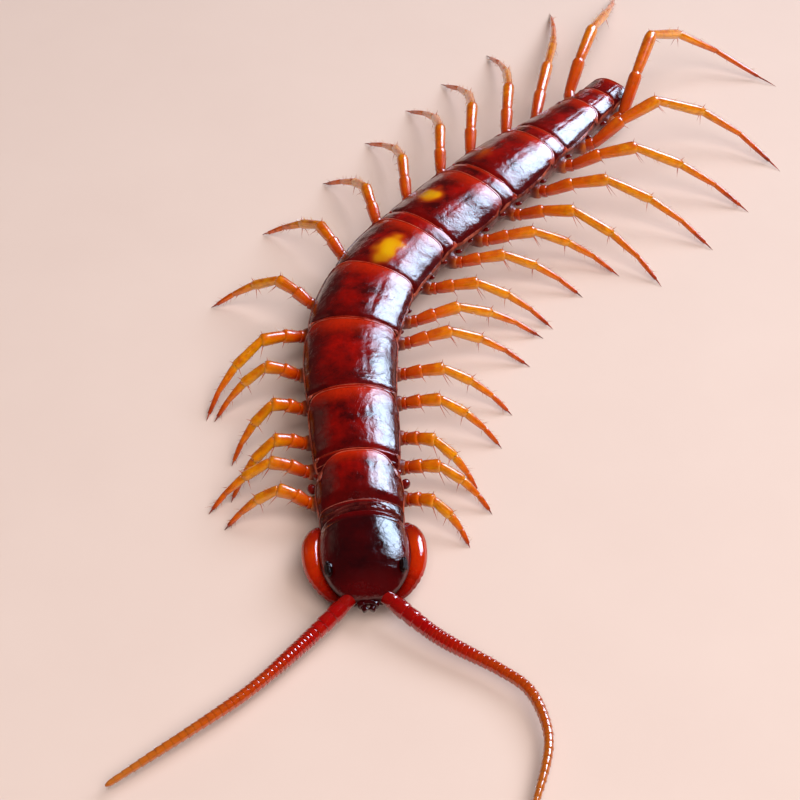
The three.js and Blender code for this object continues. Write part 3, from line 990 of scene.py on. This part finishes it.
def placeBristle(shape, draw, way, spot, point, thick):
    # a bristle on a length of leg or feeler leans to its far end, and stays over the floor
    root = point + spot * thick * shape["bristleRoot"]
    aim = (spot + way * draw.uniform(*shape["bristleForward"])).normalized()
    aim = aim * draw.uniform(*shape["bristleLength"])
    if root.z + aim.z < legs["foot"]:
        aim.z = abs(aim.z)
    return placeBetween(root, root + aim, shape["bristleThickness"])


def legPose(pair, side):
    reach = legs[sideNames[side] + "Reach"][pair - 1]
    swing = legs[sideNames[side] + "Swing"][pair - 1]
    last = pair == body["pairs"]
    kind = "last" if last else "short" if pair in body["short"] else "long"
    s = plateStart(pair) + body["plates"][pair - 1] * legs["rootPart"][kind]
    turn = heading(s)
    outward = Vector((side * math.cos(turn), -side * math.sin(turn), 0))
    rearward = Vector((math.sin(turn), math.cos(turn), 0))

    def swung(degrees):
        angle = math.radians(degrees)
        return outward * math.cos(angle) + rearward * math.sin(angle)

    most = trunkShape["hipSwing"]
    hipSwing = max(-most, min(most, swing * trunkShape["hipShare"]))
    hipAway = (swung(hipSwing) + Vector((0, 0, trunkShape["hipTilt"]))).normalized()
    out = halfWidth(s) * legs["rootOut"][kind]
    root = at(s, side * out, rootHeight(s))
    foot = root + swung(swing) * reach
    foot.z = legs["foot"]
    start = root + hipAway * legs["seam"]
    span = foot - start
    span.z = 0
    towards = span.normalized()
    extra, extraFrom = legs["lastExtra"]
    length = legs["length"] + legs["growth"] * (pair - 1)
    length += extra * smoothstep(pair, extraFrom, body["pairs"])
    spare = math.sqrt(max(length ** 2 - reach ** 2, legs["leastSpare"]))
    base, share = legs["rearKnee"]
    rear = smoothstep(pair, *legs["rearKneeOver"])
    lift = lerp(legs["kneeLift"][side], base + share * spare, rear)
    knee = root.z + lift + (legs["lastLift"] if last else 0)
    bowShare = smoothstep(pair, legs["bowFrom"][side], body["pairs"] - 0.5)
    thicker, thickerFrom = legs["thicker"]
    angle = math.radians(hipSwing)
    benchAway = Vector((side * math.cos(angle), math.sin(angle), trunkShape["hipTilt"]))
    return {
        "start": start, "span": span, "knee": knee, "hipAway": hipAway,
        "bowing": Vector((-towards.y, towards.x, 0)) * side,
        "bow": lerp(legs["bow"], legs["lastBow"][side], bowShare) * reach,
        "thick": 1 + thicker * smoothstep(pair, thickerFrom, body["pairs"]),
        "benchRoot": Vector((side * out, s, root.z)), "benchAway": benchAway.normalized(),
    }


def legPoint(pose, part):
    if part < 0:
        return pose["start"] + pose["hipAway"] * part * pose["span"].length
    height = 0
    for (low, a), (high, b) in zip(legs["heights"], legs["heights"][1:]):
        if low <= part <= high:
            height = lerp(a, b, (part - low) / (high - low))
            break
    point = pose["start"] + pose["span"] * part
    point += pose["bowing"] * (pose["bow"] * legs["bowPeak"] * part ** 1.5 * (1 - part))
    base = pose["start"].z if part < legs["kneePart"] else legs["foot"]
    point.z = lerp(base, pose["knee"], height)
    return point


models = {
    name: turned(name, taper if name.startswith("tarsus") else swell, legs["sides"])
    for name, _, _ in legs["lengths"] if name != "claw"
}
models["claw"] = turned("claw", hook, 10, 0.7, 0.9)
spine = spike("spine", 6)
bristle = spike("bristle", 3)


def makeLeg(pair, side, draw):
    pose = legPose(pair, side)
    copies = []
    starts = legs["lengths"]
    spineBack, spineOut = legs["spineRoot"]
    toneMore, toneMost = legs["bristleTone"]
    for index, (name, part, radius) in enumerate(starts):
        end = starts[index + 1][1] if index + 1 < len(starts) else 1
        start, stop = legPoint(pose, part), legPoint(pose, end)
        thick = radius * pose["thick"]
        if name == "claw":
            start = start + (start - stop) * legs["clawIn"]
        matrix = placeBetween(start, stop, thick * legs["flatten"], thick)
        copies.append((models[name], matrix, max(part, 0), end))
        way = (stop - start).normalized()
        turn = frameAlong(start, stop)
        for length, lean in legs["spines"].get(name, []):
            spot = spoke(turn, math.radians(180 + legs["spineTurn"] * lean * side))
            root = stop - way * radius * spineBack + spot * thick * spineOut
            aim = (spot + way * legs["spineForward"]).normalized()
            matrix = placeBetween(root, root + aim * length, legs["spineThickness"])
            copies.append((spine, matrix, *legs["spineTone"]))
        count = round(legs["bristles"] * (end - part)) if name != "claw" else 0
        for _ in range(count):
            along = draw.uniform(*legs["bristleAlong"])
            spot = spoke(turn, draw.uniform(0, 2 * math.pi))
            matrix = placeBristle(legs, draw, way, spot, start.lerp(stop, along), thick)
            tint = min(toneMost, part + toneMore)
            copies.append((bristle, matrix, tint, tint))
    leg = copyOnto(f"walkingLeg_{sideNames[side]}_{pair:02d}", copies)
    markShadedBack(leg)
    return leg


draw = random.Random(7)
hips = []
for pair in range(1, body["pairs"] + 1):
    for side, sideName in sideNames.items():
        leg = makeLeg(pair, side, draw)
        dress(leg, legFinish, [f"leg_{sideName}_{pair:02d}"], bent=False)
        hips.append(legPose(pair, side))
print("legs made:", 2 * body["pairs"])


def makeTrunkSkin():
    skin = pullSphere("trunkSkin", trunkShape["sides"], trunkShape["levels"], trunkPoint)
    lumps = []
    wide, high = trunkShape["hipSize"]
    for hip in hips:
        end = hip["benchRoot"] + hip["benchAway"] * trunkShape["hipOut"]
        start = end - hip["benchAway"] * trunkShape["hipLength"]
        lump = models["prefemur"].copy()
        lump.data = models["prefemur"].data.copy()
        bpy.context.collection.objects.link(lump)
        lump.data.transform(placeBetween(start, end, wide * hip["thick"], high * hip["thick"]))
        lumps.append(lump)
    skin = joinPieces("trunkSkin", [skin, *lumps])
    factor, rounds = trunkShape["smooth"]
    fitModifier(skin, "REMESH", mode="VOXEL", voxel_size=trunkShape["voxel"])
    fitModifier(skin, "SMOOTH", factor=factor, iterations=rounds)
    outward = [vertex.normal.copy() for vertex in skin.data.vertices]
    for vertex, away in zip(skin.data.vertices, outward):
        spot = vertex.co
        vertex.co = spot + away * sum(wander(row, *spot) for row in trunkShape["crinkles"])
    return skin


skinShape = {
    "gloss": softGloss(0.42, 0.3, 0.2, 0.3, (1.0, 0.35, 0.15), 0.2),
    "stops": [
        (0.0, (84, 18, 10)), (0.55, (96, 24, 12)), (0.8, (128, 44, 12)), (1.0, (176, 84, 16)),
    ],
    "shade": (0.4, 4, 0.5, 0.4, 0.75, 0, 0.7),
    "shadeTone": (58, 14, 12),
    "folds": (0.2, 4, 0.6),
    "foldDepth": 0.03,
    "beadSize": 0.06,
    "beadDepth": 0.008,
}
skinFinish = Finish("sideSkin", skinShape["gloss"])
skinTone = skinFinish.ramp(skinFinish.kept("outward"), skinShape["stops"])
skinShade = skinFinish.patches(*skinShape["shade"])
skinFinish.drive("Base Color", skinFinish.mix(skinShade, skinTone, tone(*skinShape["shadeTone"])))
skinFinish.relief(
    (skinFinish.grain(*skinShape["folds"]), skinShape["foldDepth"]),
    (skinFinish.cells(skinShape["beadSize"]), skinShape["beadDepth"]),
)


def skinOutward(vertex):
    return smoothstep(abs(vertex.co.x) / halfWidth(vertex.co.y), *trunkShape["glowOver"])


skin = makeTrunkSkin()
mark(skin, "outward", skinOutward)
segments = [f"segment_{number:02d}" for number in range(1, plateCount + 1)]
dress(skin, skinFinish.material, segments, 80)
print("trunk skin made")

# Small hard knobs in the side skin: before and behind every hip, largest at the first segment.
knobFinish = makeShieldFinish("knobLacquer")
knobShape = {
    # out from the hip's root, behind it, above it, and radius
    "front": (-0.1, -0.464, 0.2, 0.11),
    "rear": (-0.04, 0.5, 0.16, 0.09),
    "firstRear": (0.14, 0.5, 0.16, 0.165),
    "firstTo": 5,
    "lean": (0.1, 0.02),
    "outline": [
        (0, 0), (0.04, 0.4), (0.15, 0.72), (0.32, 0.94), (0.5, 1), (0.68, 0.94), (0.85, 0.72),
        (0.96, 0.4), (1, 0),
    ],
    "rim": 0.2,
}
ball = turned("knob", knobShape["outline"], 14)
knobs = []
for hip in hips:
    root = hip["benchRoot"]
    side = math.copysign(1, root.x)
    rear = knobShape["firstRear" if root.y < knobShape["firstTo"] else "rear"]
    for out, back, up, radius in (knobShape["front"], rear):
        spot = Vector((root.x + side * out, root.y + back, root.z + up))
        leanOut, leanUp = knobShape["lean"]
        reach = Vector((side * leanOut, radius, leanUp))
        knobs.append((ball, placeBetween(spot - reach, spot + reach, radius), 0, 0))
knob = copyOnto("sideKnobs", knobs)
mark(knob, "rim", lambda vertex: knobShape["rim"])
dress(knob, knobFinish, [])

# Belly plates: a row of shields under the trunk, each a sheet with rounded corners.
bellyShape = {
    "columns": 12, "rows": 8, "width": 0.62, "length": 0.46, "sideRound": 0.22, "endRound": 0.12,
    "thickness": 0.06, "inset": 0.06, "rise": 0.02, "lower": 0.05, "hollow": 0.06, "rim": 0.5,
}


def makeBellyPlate(start, length):
    shape = bellyShape
    wide = halfWidth(start + length / 2) * shape["width"]

    def place(u, v):
        part = 0.5 + shape["length"] * v * (1 - shape["endRound"] * abs(u) ** 4)
        return u * wide * (1 - shape["sideRound"] * abs(v) ** 4), start + length * part, 0

    shield = makeSheet(shape["columns"], shape["rows"], place)
    openPiece(shield)
    bpy.ops.mesh.inset(thickness=shape["inset"], depth=0)
    bpy.ops.mesh.extrude_region_move(TRANSFORM_OT_translate={"value": (0, 0, -shape["rise"])})
    closePiece()
    fitModifier(shield, "SOLIDIFY", thickness=shape["thickness"], offset=0)
    fitModifier(shield, "SUBSURF", levels=1, render_levels=1)
    for vertex in shield.data.vertices:
        u = vertex.co.x / (halfWidth(start) * shape["width"])
        vertex.co.z += body["belly"] - shape["lower"] + shape["hollow"] * u * u
    return shield


bellyPlates = [
    makeBellyPlate(plateStart(number), body["plates"][number - 1])
    for number in range(1, body["pairs"] + 1)
]
belly = joinPieces("bellyPlates", bellyPlates)
faceOut(belly)
mark(belly, "rim", lambda vertex: bellyShape["rim"])
dress(belly, plateFinish, [])
print("side knobs and belly plates made")

# Neck: the narrow back plate of the segment that carries the fangs, with two ridges painted pale as
# highlights.
neckShape = {
    "start": 2.86, "length": 0.44, "ridges": (3.17, 3.31), "ridgeWidth": 0.035,
    "ridgeRise": 0.05, "ridgeBow": 0.16, "ridgeHighlight": 0.25,
}
neck = makePlate(0, neckShape["start"], neckShape["length"], "neck")
neck.name = "neckPlate"
# the ridges join the rim band that carries the painted highlight
ridgeHighlightEdge = neck.data.attributes["edge"]
for index, vertex in enumerate(neck.data.vertices):
    line = vertex.co.y + neckShape["ridgeBow"] * vertex.co.x ** 2
    rise = sum(hump(line, place, neckShape["ridgeWidth"]) for place in neckShape["ridges"])
    vertex.co.z += neckShape["ridgeRise"] * rise
    ridgeHighlightEdge.data[index].value = max(ridgeHighlightEdge.data[index].value, neckShape["ridgeHighlight"] * rise)
dress(neck, neckFinish, ["forcipule_base"])

# Breast plate under the head, with the toothed edge that faces forward between the fangs.
breastShape = {
    "sides": 40,
    "levels": 30,
    # station, half width, height of the middle, half height
    "rows": [
        (0.86, 0.02, 0.42, 0.02), (0.94, 0.42, 0.42, 0.13), (1.2, 0.66, 0.42, 0.2),
        (2.0, 0.8, 0.43, 0.22), (2.8, 0.85, 0.48, 0.3), (3.3, 0.84, 0.52, 0.38),
        (3.42, 0.6, 0.55, 0.3), (3.45, 0.02, 0.55, 0.02),
    ],
    "roundness": 0.8,
    "furrow": {"depth": 0.03, "width": 0.05, "above": 0.4, "fade": 6},
    "toneRear": 0.18,
    "toneMore": 0.3,
    "toneOver": (3.4, 1.0),
    "teeth": 5,
    "toothSize": 0.055,
    "toothTone": (0.8, 1.0),
    # out from the midline, station, height, and what each next tooth adds
    "toothPlace": (0.07, 1.06, 0.45),
    "toothStep": (0.085, 0.012),
    "toothReach": (0.01, -0.24),
    "toothOutline": [
        (0, 0), (0, 0.9), (0.1, 1.0), (0.35, 0.85), (0.65, 0.55), (0.88, 0.28), (0.97, 0.14),
        (1, 0),
    ],
}


def breastPoint(level, turn):
    s, wide, middle, high = rowAt(breastShape, level)
    up, out = math.cos(turn), math.sin(turn)
    x = wide * bowed(out, breastShape["roundness"])
    shape = breastShape["furrow"]
    furrow = shape["depth"] * hump(x, 0, shape["width"]) * (1 if up < 0 else shape["above"])
    rise = high * abs(up) ** breastShape["roundness"] - furrow * min(1, high * shape["fade"])
    return Vector((x, s, middle + math.copysign(rise, up)))


def breastTone(vertex):
    more = breastShape["toneMore"] * smoothstep(vertex.co.y, *breastShape["toneOver"])
    return breastShape["toneRear"] + more


breast = pullSphere("breastPlate", breastShape["sides"], breastShape["levels"], breastPoint)
mark(breast, "along", breastTone)
dress(breast, fangFinish, ["forcipule_base"])

tooth = turned("tooth", breastShape["toothOutline"], 10)
teeth = []
for side in sideNames:
    out, station, height = breastShape["toothPlace"]
    apart, curve = breastShape["toothStep"]
    lean, ahead = breastShape["toothReach"]
    for index in range(breastShape["teeth"]):
        x = side * (out + apart * index)
        start = Vector((x, station + curve * index * index, height))
        aim = start + Vector((side * lean, ahead + curve * index, 0.0))
        matrix = placeBetween(start, aim, breastShape["toothSize"])
        teeth.append((tooth, matrix, *breastShape["toothTone"]))
teeth = copyOnto("breastTeeth", teeth)
dress(teeth, fangFinish, ["forcipule_base"])

# Fangs: smooth sickles round the sides of the head, with folds where their short middle lengths
# meet.
fangShape = {
    "sides": 32,
    "levels": 120,
    "samples": 400,
    # distance from the midline, station, height, radius
    "path": [
        (1.05, 3.0, 0.66, 0.3), (1.42, 2.86, 0.86, 0.36), (1.6, 2.45, 0.98, 0.38),
        (1.65, 1.85, 1.0, 0.36), (1.59, 1.35, 0.93, 0.32), (1.39, 0.9, 0.78, 0.27),
        (1.08, 0.58, 0.6, 0.21), (0.7, 0.42, 0.46, 0.14), (0.32, 0.4, 0.38, 0.05),
    ],
    "flatten": 0.94,
    "folds": [(0.13, 0.08), (0.6, 0.06), (0.655, 0.06), (0.71, 0.07)],
    "foldWidth": 0.009,
    "foldSwell": (0.5, 2.4),
    "ends": (0.03, 0.015),
    "lookAhead": 0.004,
    "every": 8,
}


def makeFang(side, name):
    rows = fangShape["path"]
    path = smoothPath([Vector((side * x, s, z)) for x, s, z, _ in rows], fangShape["samples"])
    radii = [[row[3]] for row in rows]
    last = fangShape["levels"] - 1
    ahead = fangShape["lookAhead"]
    swellShare, swellBefore = fangShape["foldSwell"]
    rootEnd, tipEnd = fangShape["ends"]

    def place(level, turn):
        part = level / last
        point = pathPoint(path, part)
        along = (pathPoint(path, part + ahead) - pathPoint(path, part - ahead)).normalized()
        across = along.cross(Vector((0, 0, 1))).normalized()
        up = across.cross(along)
        radius = between(radii, part * (len(rows) - 1))[0]
        for spot, depth in fangShape["folds"]:
            gap = (part - spot) / fangShape["foldWidth"]
            radius *= 1 - depth * hump(gap, 0, 1) + depth * swellShare * hump(gap, -swellBefore, 1)
        rooted, pointed = min(1, part / rootEnd), min(1, (1 - part) / tipEnd)
        radius *= math.sqrt(max(0, rooted)) * math.sqrt(max(0, pointed))
        high = radius * fangShape["flatten"]
        return point + across * radius * math.sin(turn) + up * high * math.cos(turn)

    def reached(vertex):
        near = range(0, len(path), fangShape["every"])
        return min(near, key=lambda k: (path[k] - vertex.co).length_squared) / (len(path) - 1)

    fang = pullSphere(f"fang{name.title()}", fangShape["sides"], fangShape["levels"], place)
    mark(fang, "along", reached)
    markUnder(fang)
    return fang


for side, sideName in sideNames.items():
    fang = makeFang(side, sideName)
    dress(fang, fangFinish, [f"forcipule_{sideName}"], 60)
print("neck, breast plate and fangs made")

# Feelers: short rings with a whorl of bristles, longer and thinner to the tip.
feelers = {
    "sides": 18,
    "samples": 600,
    "firstRings": [0.55, 0.48, 0.41, 0.3, 0.2],
    "ring": (0.13, 0.3),
    "radius": [(0, 0.26), (0.05, 0.3), (0.2, 0.265), (0.47, 0.2), (0.75, 0.155), (1, 0.1)],
    "uneven": (0.97, 1.0),
    "joint": 0.05,
    "bristles": (2, 7),
    "bristleAlong": (0.55, 0.9),
    "bristleRoot": 0.9,
    "bristleForward": (0.5, 1.0),
    "bristleLength": (0.05, 0.11),
    "bristleThickness": 0.005,
    "bristleTone": 0.9,
    # out from the midline, ahead of the head, height
    "left": [
        (0.46, -0.34, 0.93), (0.92, 0.16, 0.87), (2.1, 1.32, 0.66), (3.8, 2.6, 0.56),
        (4.6, 3.45, 0.58), (4.95, 4.75, 0.55), (4.9, 5.6, 0.52), (4.35, 7.2, 0.45), (4.0, 8.0, 0.4),
    ],
    "right": [
        (-0.46, -0.34, 0.93), (-0.93, 0.16, 0.87), (-2.2, 1.36, 0.66), (-3.85, 2.88, 0.56),
        (-5.55, 4.15, 0.55), (-6.8, 5.0, 0.5), (-8.0, 5.8, 0.42),
    ],
    "ringOutline": [
        (0, 0), (0, 0.8), (0.02, 0.9), (0.15, 0.93), (0.4, 0.97), (0.64, 0.99), (0.8, 1.0),
        (0.9, 0.99), (0.97, 0.95), (1.0, 0.88), (1.0, 0),
    ],
    "tipOutline": [
        (0, 0), (0, 0.8), (0.04, 0.94), (0.2, 1.0), (0.4, 0.96), (0.6, 0.84), (0.78, 0.64),
        (0.9, 0.42), (0.97, 0.22), (1, 0),
    ],
}
feelerRing = turned("feelerRing", feelers["ringOutline"], feelers["sides"])
feelerTip = turned("feelerTip", feelers["tipOutline"], feelers["sides"])


def ringLengths(total):
    # long first rings, then short ones that grow longer again to the tip
    low, high = feelers["ring"]
    rest = total - sum(feelers["firstRings"])
    count = round(rest / (low + high) * 2)
    later = [lerp(low, high, index / (count - 1)) for index in range(count)]
    lengths = feelers["firstRings"] + later
    return [length * total / sum(lengths) for length in lengths]


def makeFeeler(name, draw):
    path = smoothPath([at(-ahead, x, z) for x, ahead, z in feelers[name]], feelers["samples"])
    total = sum((b - a).length for a, b in zip(path, path[1:]))
    lengths = ringLengths(total)
    copies, reached = [], 0.0
    for index, length in enumerate(lengths):
        low, high = reached / total, (reached + length) / total
        start, stop = pathPoint(path, low), pathPoint(path, high)
        radius = stationWidth(feelers["radius"], low) * draw.uniform(*feelers["uneven"])
        model = feelerTip if index == len(lengths) - 1 else feelerRing
        matrix = placeBetween(start - (stop - start) * feelers["joint"], stop, radius)
        copies.append((model, matrix, low, high))
        turn = frameAlong(start, stop)
        way = (stop - start).normalized()
        for _ in range(round(lerp(*feelers["bristles"], low))):
            spot = spoke(turn, draw.uniform(0, 2 * math.pi))
            point = start.lerp(stop, draw.uniform(*feelers["bristleAlong"]))
            matrix = placeBristle(feelers, draw, way, spot, point, radius)
            copies.append((bristle, matrix, feelers["bristleTone"], feelers["bristleTone"]))
        reached += length
    return copyOnto(f"feeler{name.title()}", copies)


for sideName in sideNames.values():
    feeler = makeFeeler(sideName, draw)
    dress(feeler, feelerFinish, [f"antenna_{sideName}"], bent=False)

# Mouth feelers: two short jointed stalks under the front of the head, and the lip between them.
palpShape = {
    # distance from the midline, station, height, radius
    "path": [
        (0.24, 0.6, 0.92, 0.2), (0.26, 0.15, 0.86, 0.15), (0.17, -0.08, 0.84, 0.11),
        (0.08, -0.22, 0.8),
    ],
    "slim": 0.95,
    "tone": (0.05, 0.1),
    "lip": (Vector((0, 0.5, 0.92)), Vector((0, -0.04, 0.9)), 0.24, 0.12),
    "lipTone": (0.0, 0.05),
}
palps = []
for side in sideNames:
    spots = [Vector((side * x, s, z)) for x, s, z, *_ in palpShape["path"]]
    for start, stop, row in zip(spots, spots[1:], palpShape["path"]):
        matrix = placeBetween(start, stop, row[3] * palpShape["slim"])
        palps.append((models["femur"], matrix, *palpShape["tone"]))
palps.append((models["femur"], placeBetween(*palpShape["lip"]), *palpShape["lipTone"]))
palp = copyOnto("mouthFeelers", palps)
dress(palp, headFinish, ["head"])
print("feelers made")

# Eyes: a low pad on each side of the head with its cluster of single lenses, the largest at the
# rear. On the pad, places are along the head to the rear and up across it, in mm.
eyeShape = {
    "spot": (1.17, 0.98, 1.5),
    "outward": (-0.35, 0.75),
    "tilt": 0.3,
    "pad": (0.27, 0.1, 0.16),
    "lens": 0.04,
    "rear": (0.2, 0.0, 0.06),
    "rows": [(5, -0.09), (6, -0.03), (6, 0.03), (5, 0.09)],
    "rowRear": 0.12,
    "rowLength": 0.27,
    "sink": 0.01,
    "leastHeight": 0.05,
    "gloss": {
        "Roughness": 0.1, "Coat Weight": 0.3, "Coat Roughness": 0.05, "IOR": 1.45,
        "Specular IOR Level": 0.3,
    },
    "clouds": (0.15, 3, 0.5, 0.3, 0.7),
    "tones": ((8, 1, 2), (26, 4, 4)),
    "grit": (0.06, 2),
    "gritDepth": 0.001,
}
lensFinish = Finish("lensGloss", eyeShape["gloss"])
lensTones = [tone(*colour) for colour in eyeShape["tones"]]
lensFinish.drive("Base Color", lensFinish.mix(lensFinish.patches(*eyeShape["clouds"]), *lensTones))
lensFinish.relief((lensFinish.grain(*eyeShape["grit"]), eyeShape["gritDepth"]))


def makeEye(side, name):
    x, s, z = eyeShape["spot"]
    center = Vector((side * x, s, z))
    outward = Vector((side, *eyeShape["outward"])).normalized()
    along = Vector((0, 1, eyeShape["tilt"])).normalized()
    up = outward.cross(along).normalized() * side
    along = up.cross(outward) * side
    length, depth, height = eyeShape["pad"]
    pad = Matrix((along * length, outward * depth, up * height)).transposed().to_4x4()
    pad = Matrix.Translation(center) @ pad @ Matrix.Translation((0, -1, 0))
    copies = [(ball, pad @ Matrix.Diagonal((1, 2, 1, 1)), 0, 0)]
    spots = [eyeShape["rear"]]
    for count, b in eyeShape["rows"]:
        for index in range(count):
            a = eyeShape["rowRear"] - eyeShape["rowLength"] * index / (count - 1) * (1 - abs(b))
            spots.append((a, b, eyeShape["lens"]))
    for a, b, radius in spots:
        level = max(eyeShape["leastHeight"], 1 - (a / length) ** 2 - (b / height) ** 2)
        away = outward * (depth * math.sqrt(level) - eyeShape["sink"])
        spot = center + along * a + up * b + away
        matrix = placeBetween(spot - outward * radius, spot + outward * radius, radius)
        copies.append((ball, matrix, 0, 0))
    return copyOnto(f"eyes{name.title()}", copies)


for side, sideName in sideNames.items():
    eye = makeEye(side, sideName)
    faceOut(eye)
    dress(eye, lensFinish.material, [f"eye_{sideName}"])
print("eyes made")

for model in (*models.values(), spine, bristle, ball, tooth, feelerRing, feelerTip):
    bpy.data.meshes.remove(model.data)

# Floor, far wider than the view, and the room's own light.
stage = {
    "size": 2.4,
    "roughness": 0.85,
    "tones": ((208, 183, 172), (214, 190, 179)),
    "grain": (6, 4, 0.6),
    "room": (0.9, 0.78, 0.74, 1),
    "roomStrength": 0.05,
}
floorFinish = Finish("paleFloor", {"Roughness": stage["roughness"]})
floorTones = [tone(*colour) for colour in stage["tones"]]
floorFinish.drive("Base Color", floorFinish.mix(floorFinish.grain(*stage["grain"]), *floorTones))
dropAll()
bpy.ops.mesh.primitive_plane_add(size=stage["size"], location=(0, 0, 0))
floor = bpy.context.object
floor.name = "paleFloor"
floor.data.materials.append(floorFinish.material)

world = bpy.data.worlds.new("softRoom")
bpy.context.scene.world = world
world.use_nodes = True
world.node_tree.nodes["Background"].inputs["Color"].default_value = stage["room"]
world.node_tree.nodes["Background"].inputs["Strength"].default_value = stage["roomStrength"]

# Lights: place and size in mm, power, colour, and whether each lights the surface and shows in
# its gloss. All are turned to one spot on the animal.
lightAim = (-2, 0, 1)
lights = {
    "skyWindow": ((90, 84, 92), (76, 88), 0.42, (0.58, 0.76, 1.0), False, True),
    "skyFill": ((110, 60, 140), (140, 140), 0.34, (0.86, 0.92, 1.0), True, False),
    "frontSoft": ((40, -110, 170), (180, 180), 0.5, (1.0, 0.97, 0.93), True, False),
    "leftWarm": ((-120, 70, 75), (22, 50), 0.0012, (1.0, 0.84, 0.66), True, True),
}
for name, (place, size, watts, colour, lit, shown) in lights.items():
    start = Vector(place)
    turn = (Vector(lightAim) - start).to_track_quat("-Z", "Y").to_euler()
    bpy.ops.object.light_add(type="AREA", location=start * mm, rotation=turn)
    lamp = bpy.context.object
    lamp.name = name
    lamp.data.shape = "RECTANGLE"
    lamp.data.size, lamp.data.size_y = size[0] * mm, size[1] * mm
    lamp.data.energy = watts
    lamp.data.color = colour
    lamp.visible_diffuse = lit
    lamp.visible_glossy = shown

bpy.context.scene.view_settings.view_transform = "Standard"
print("stage, lights and camera set")
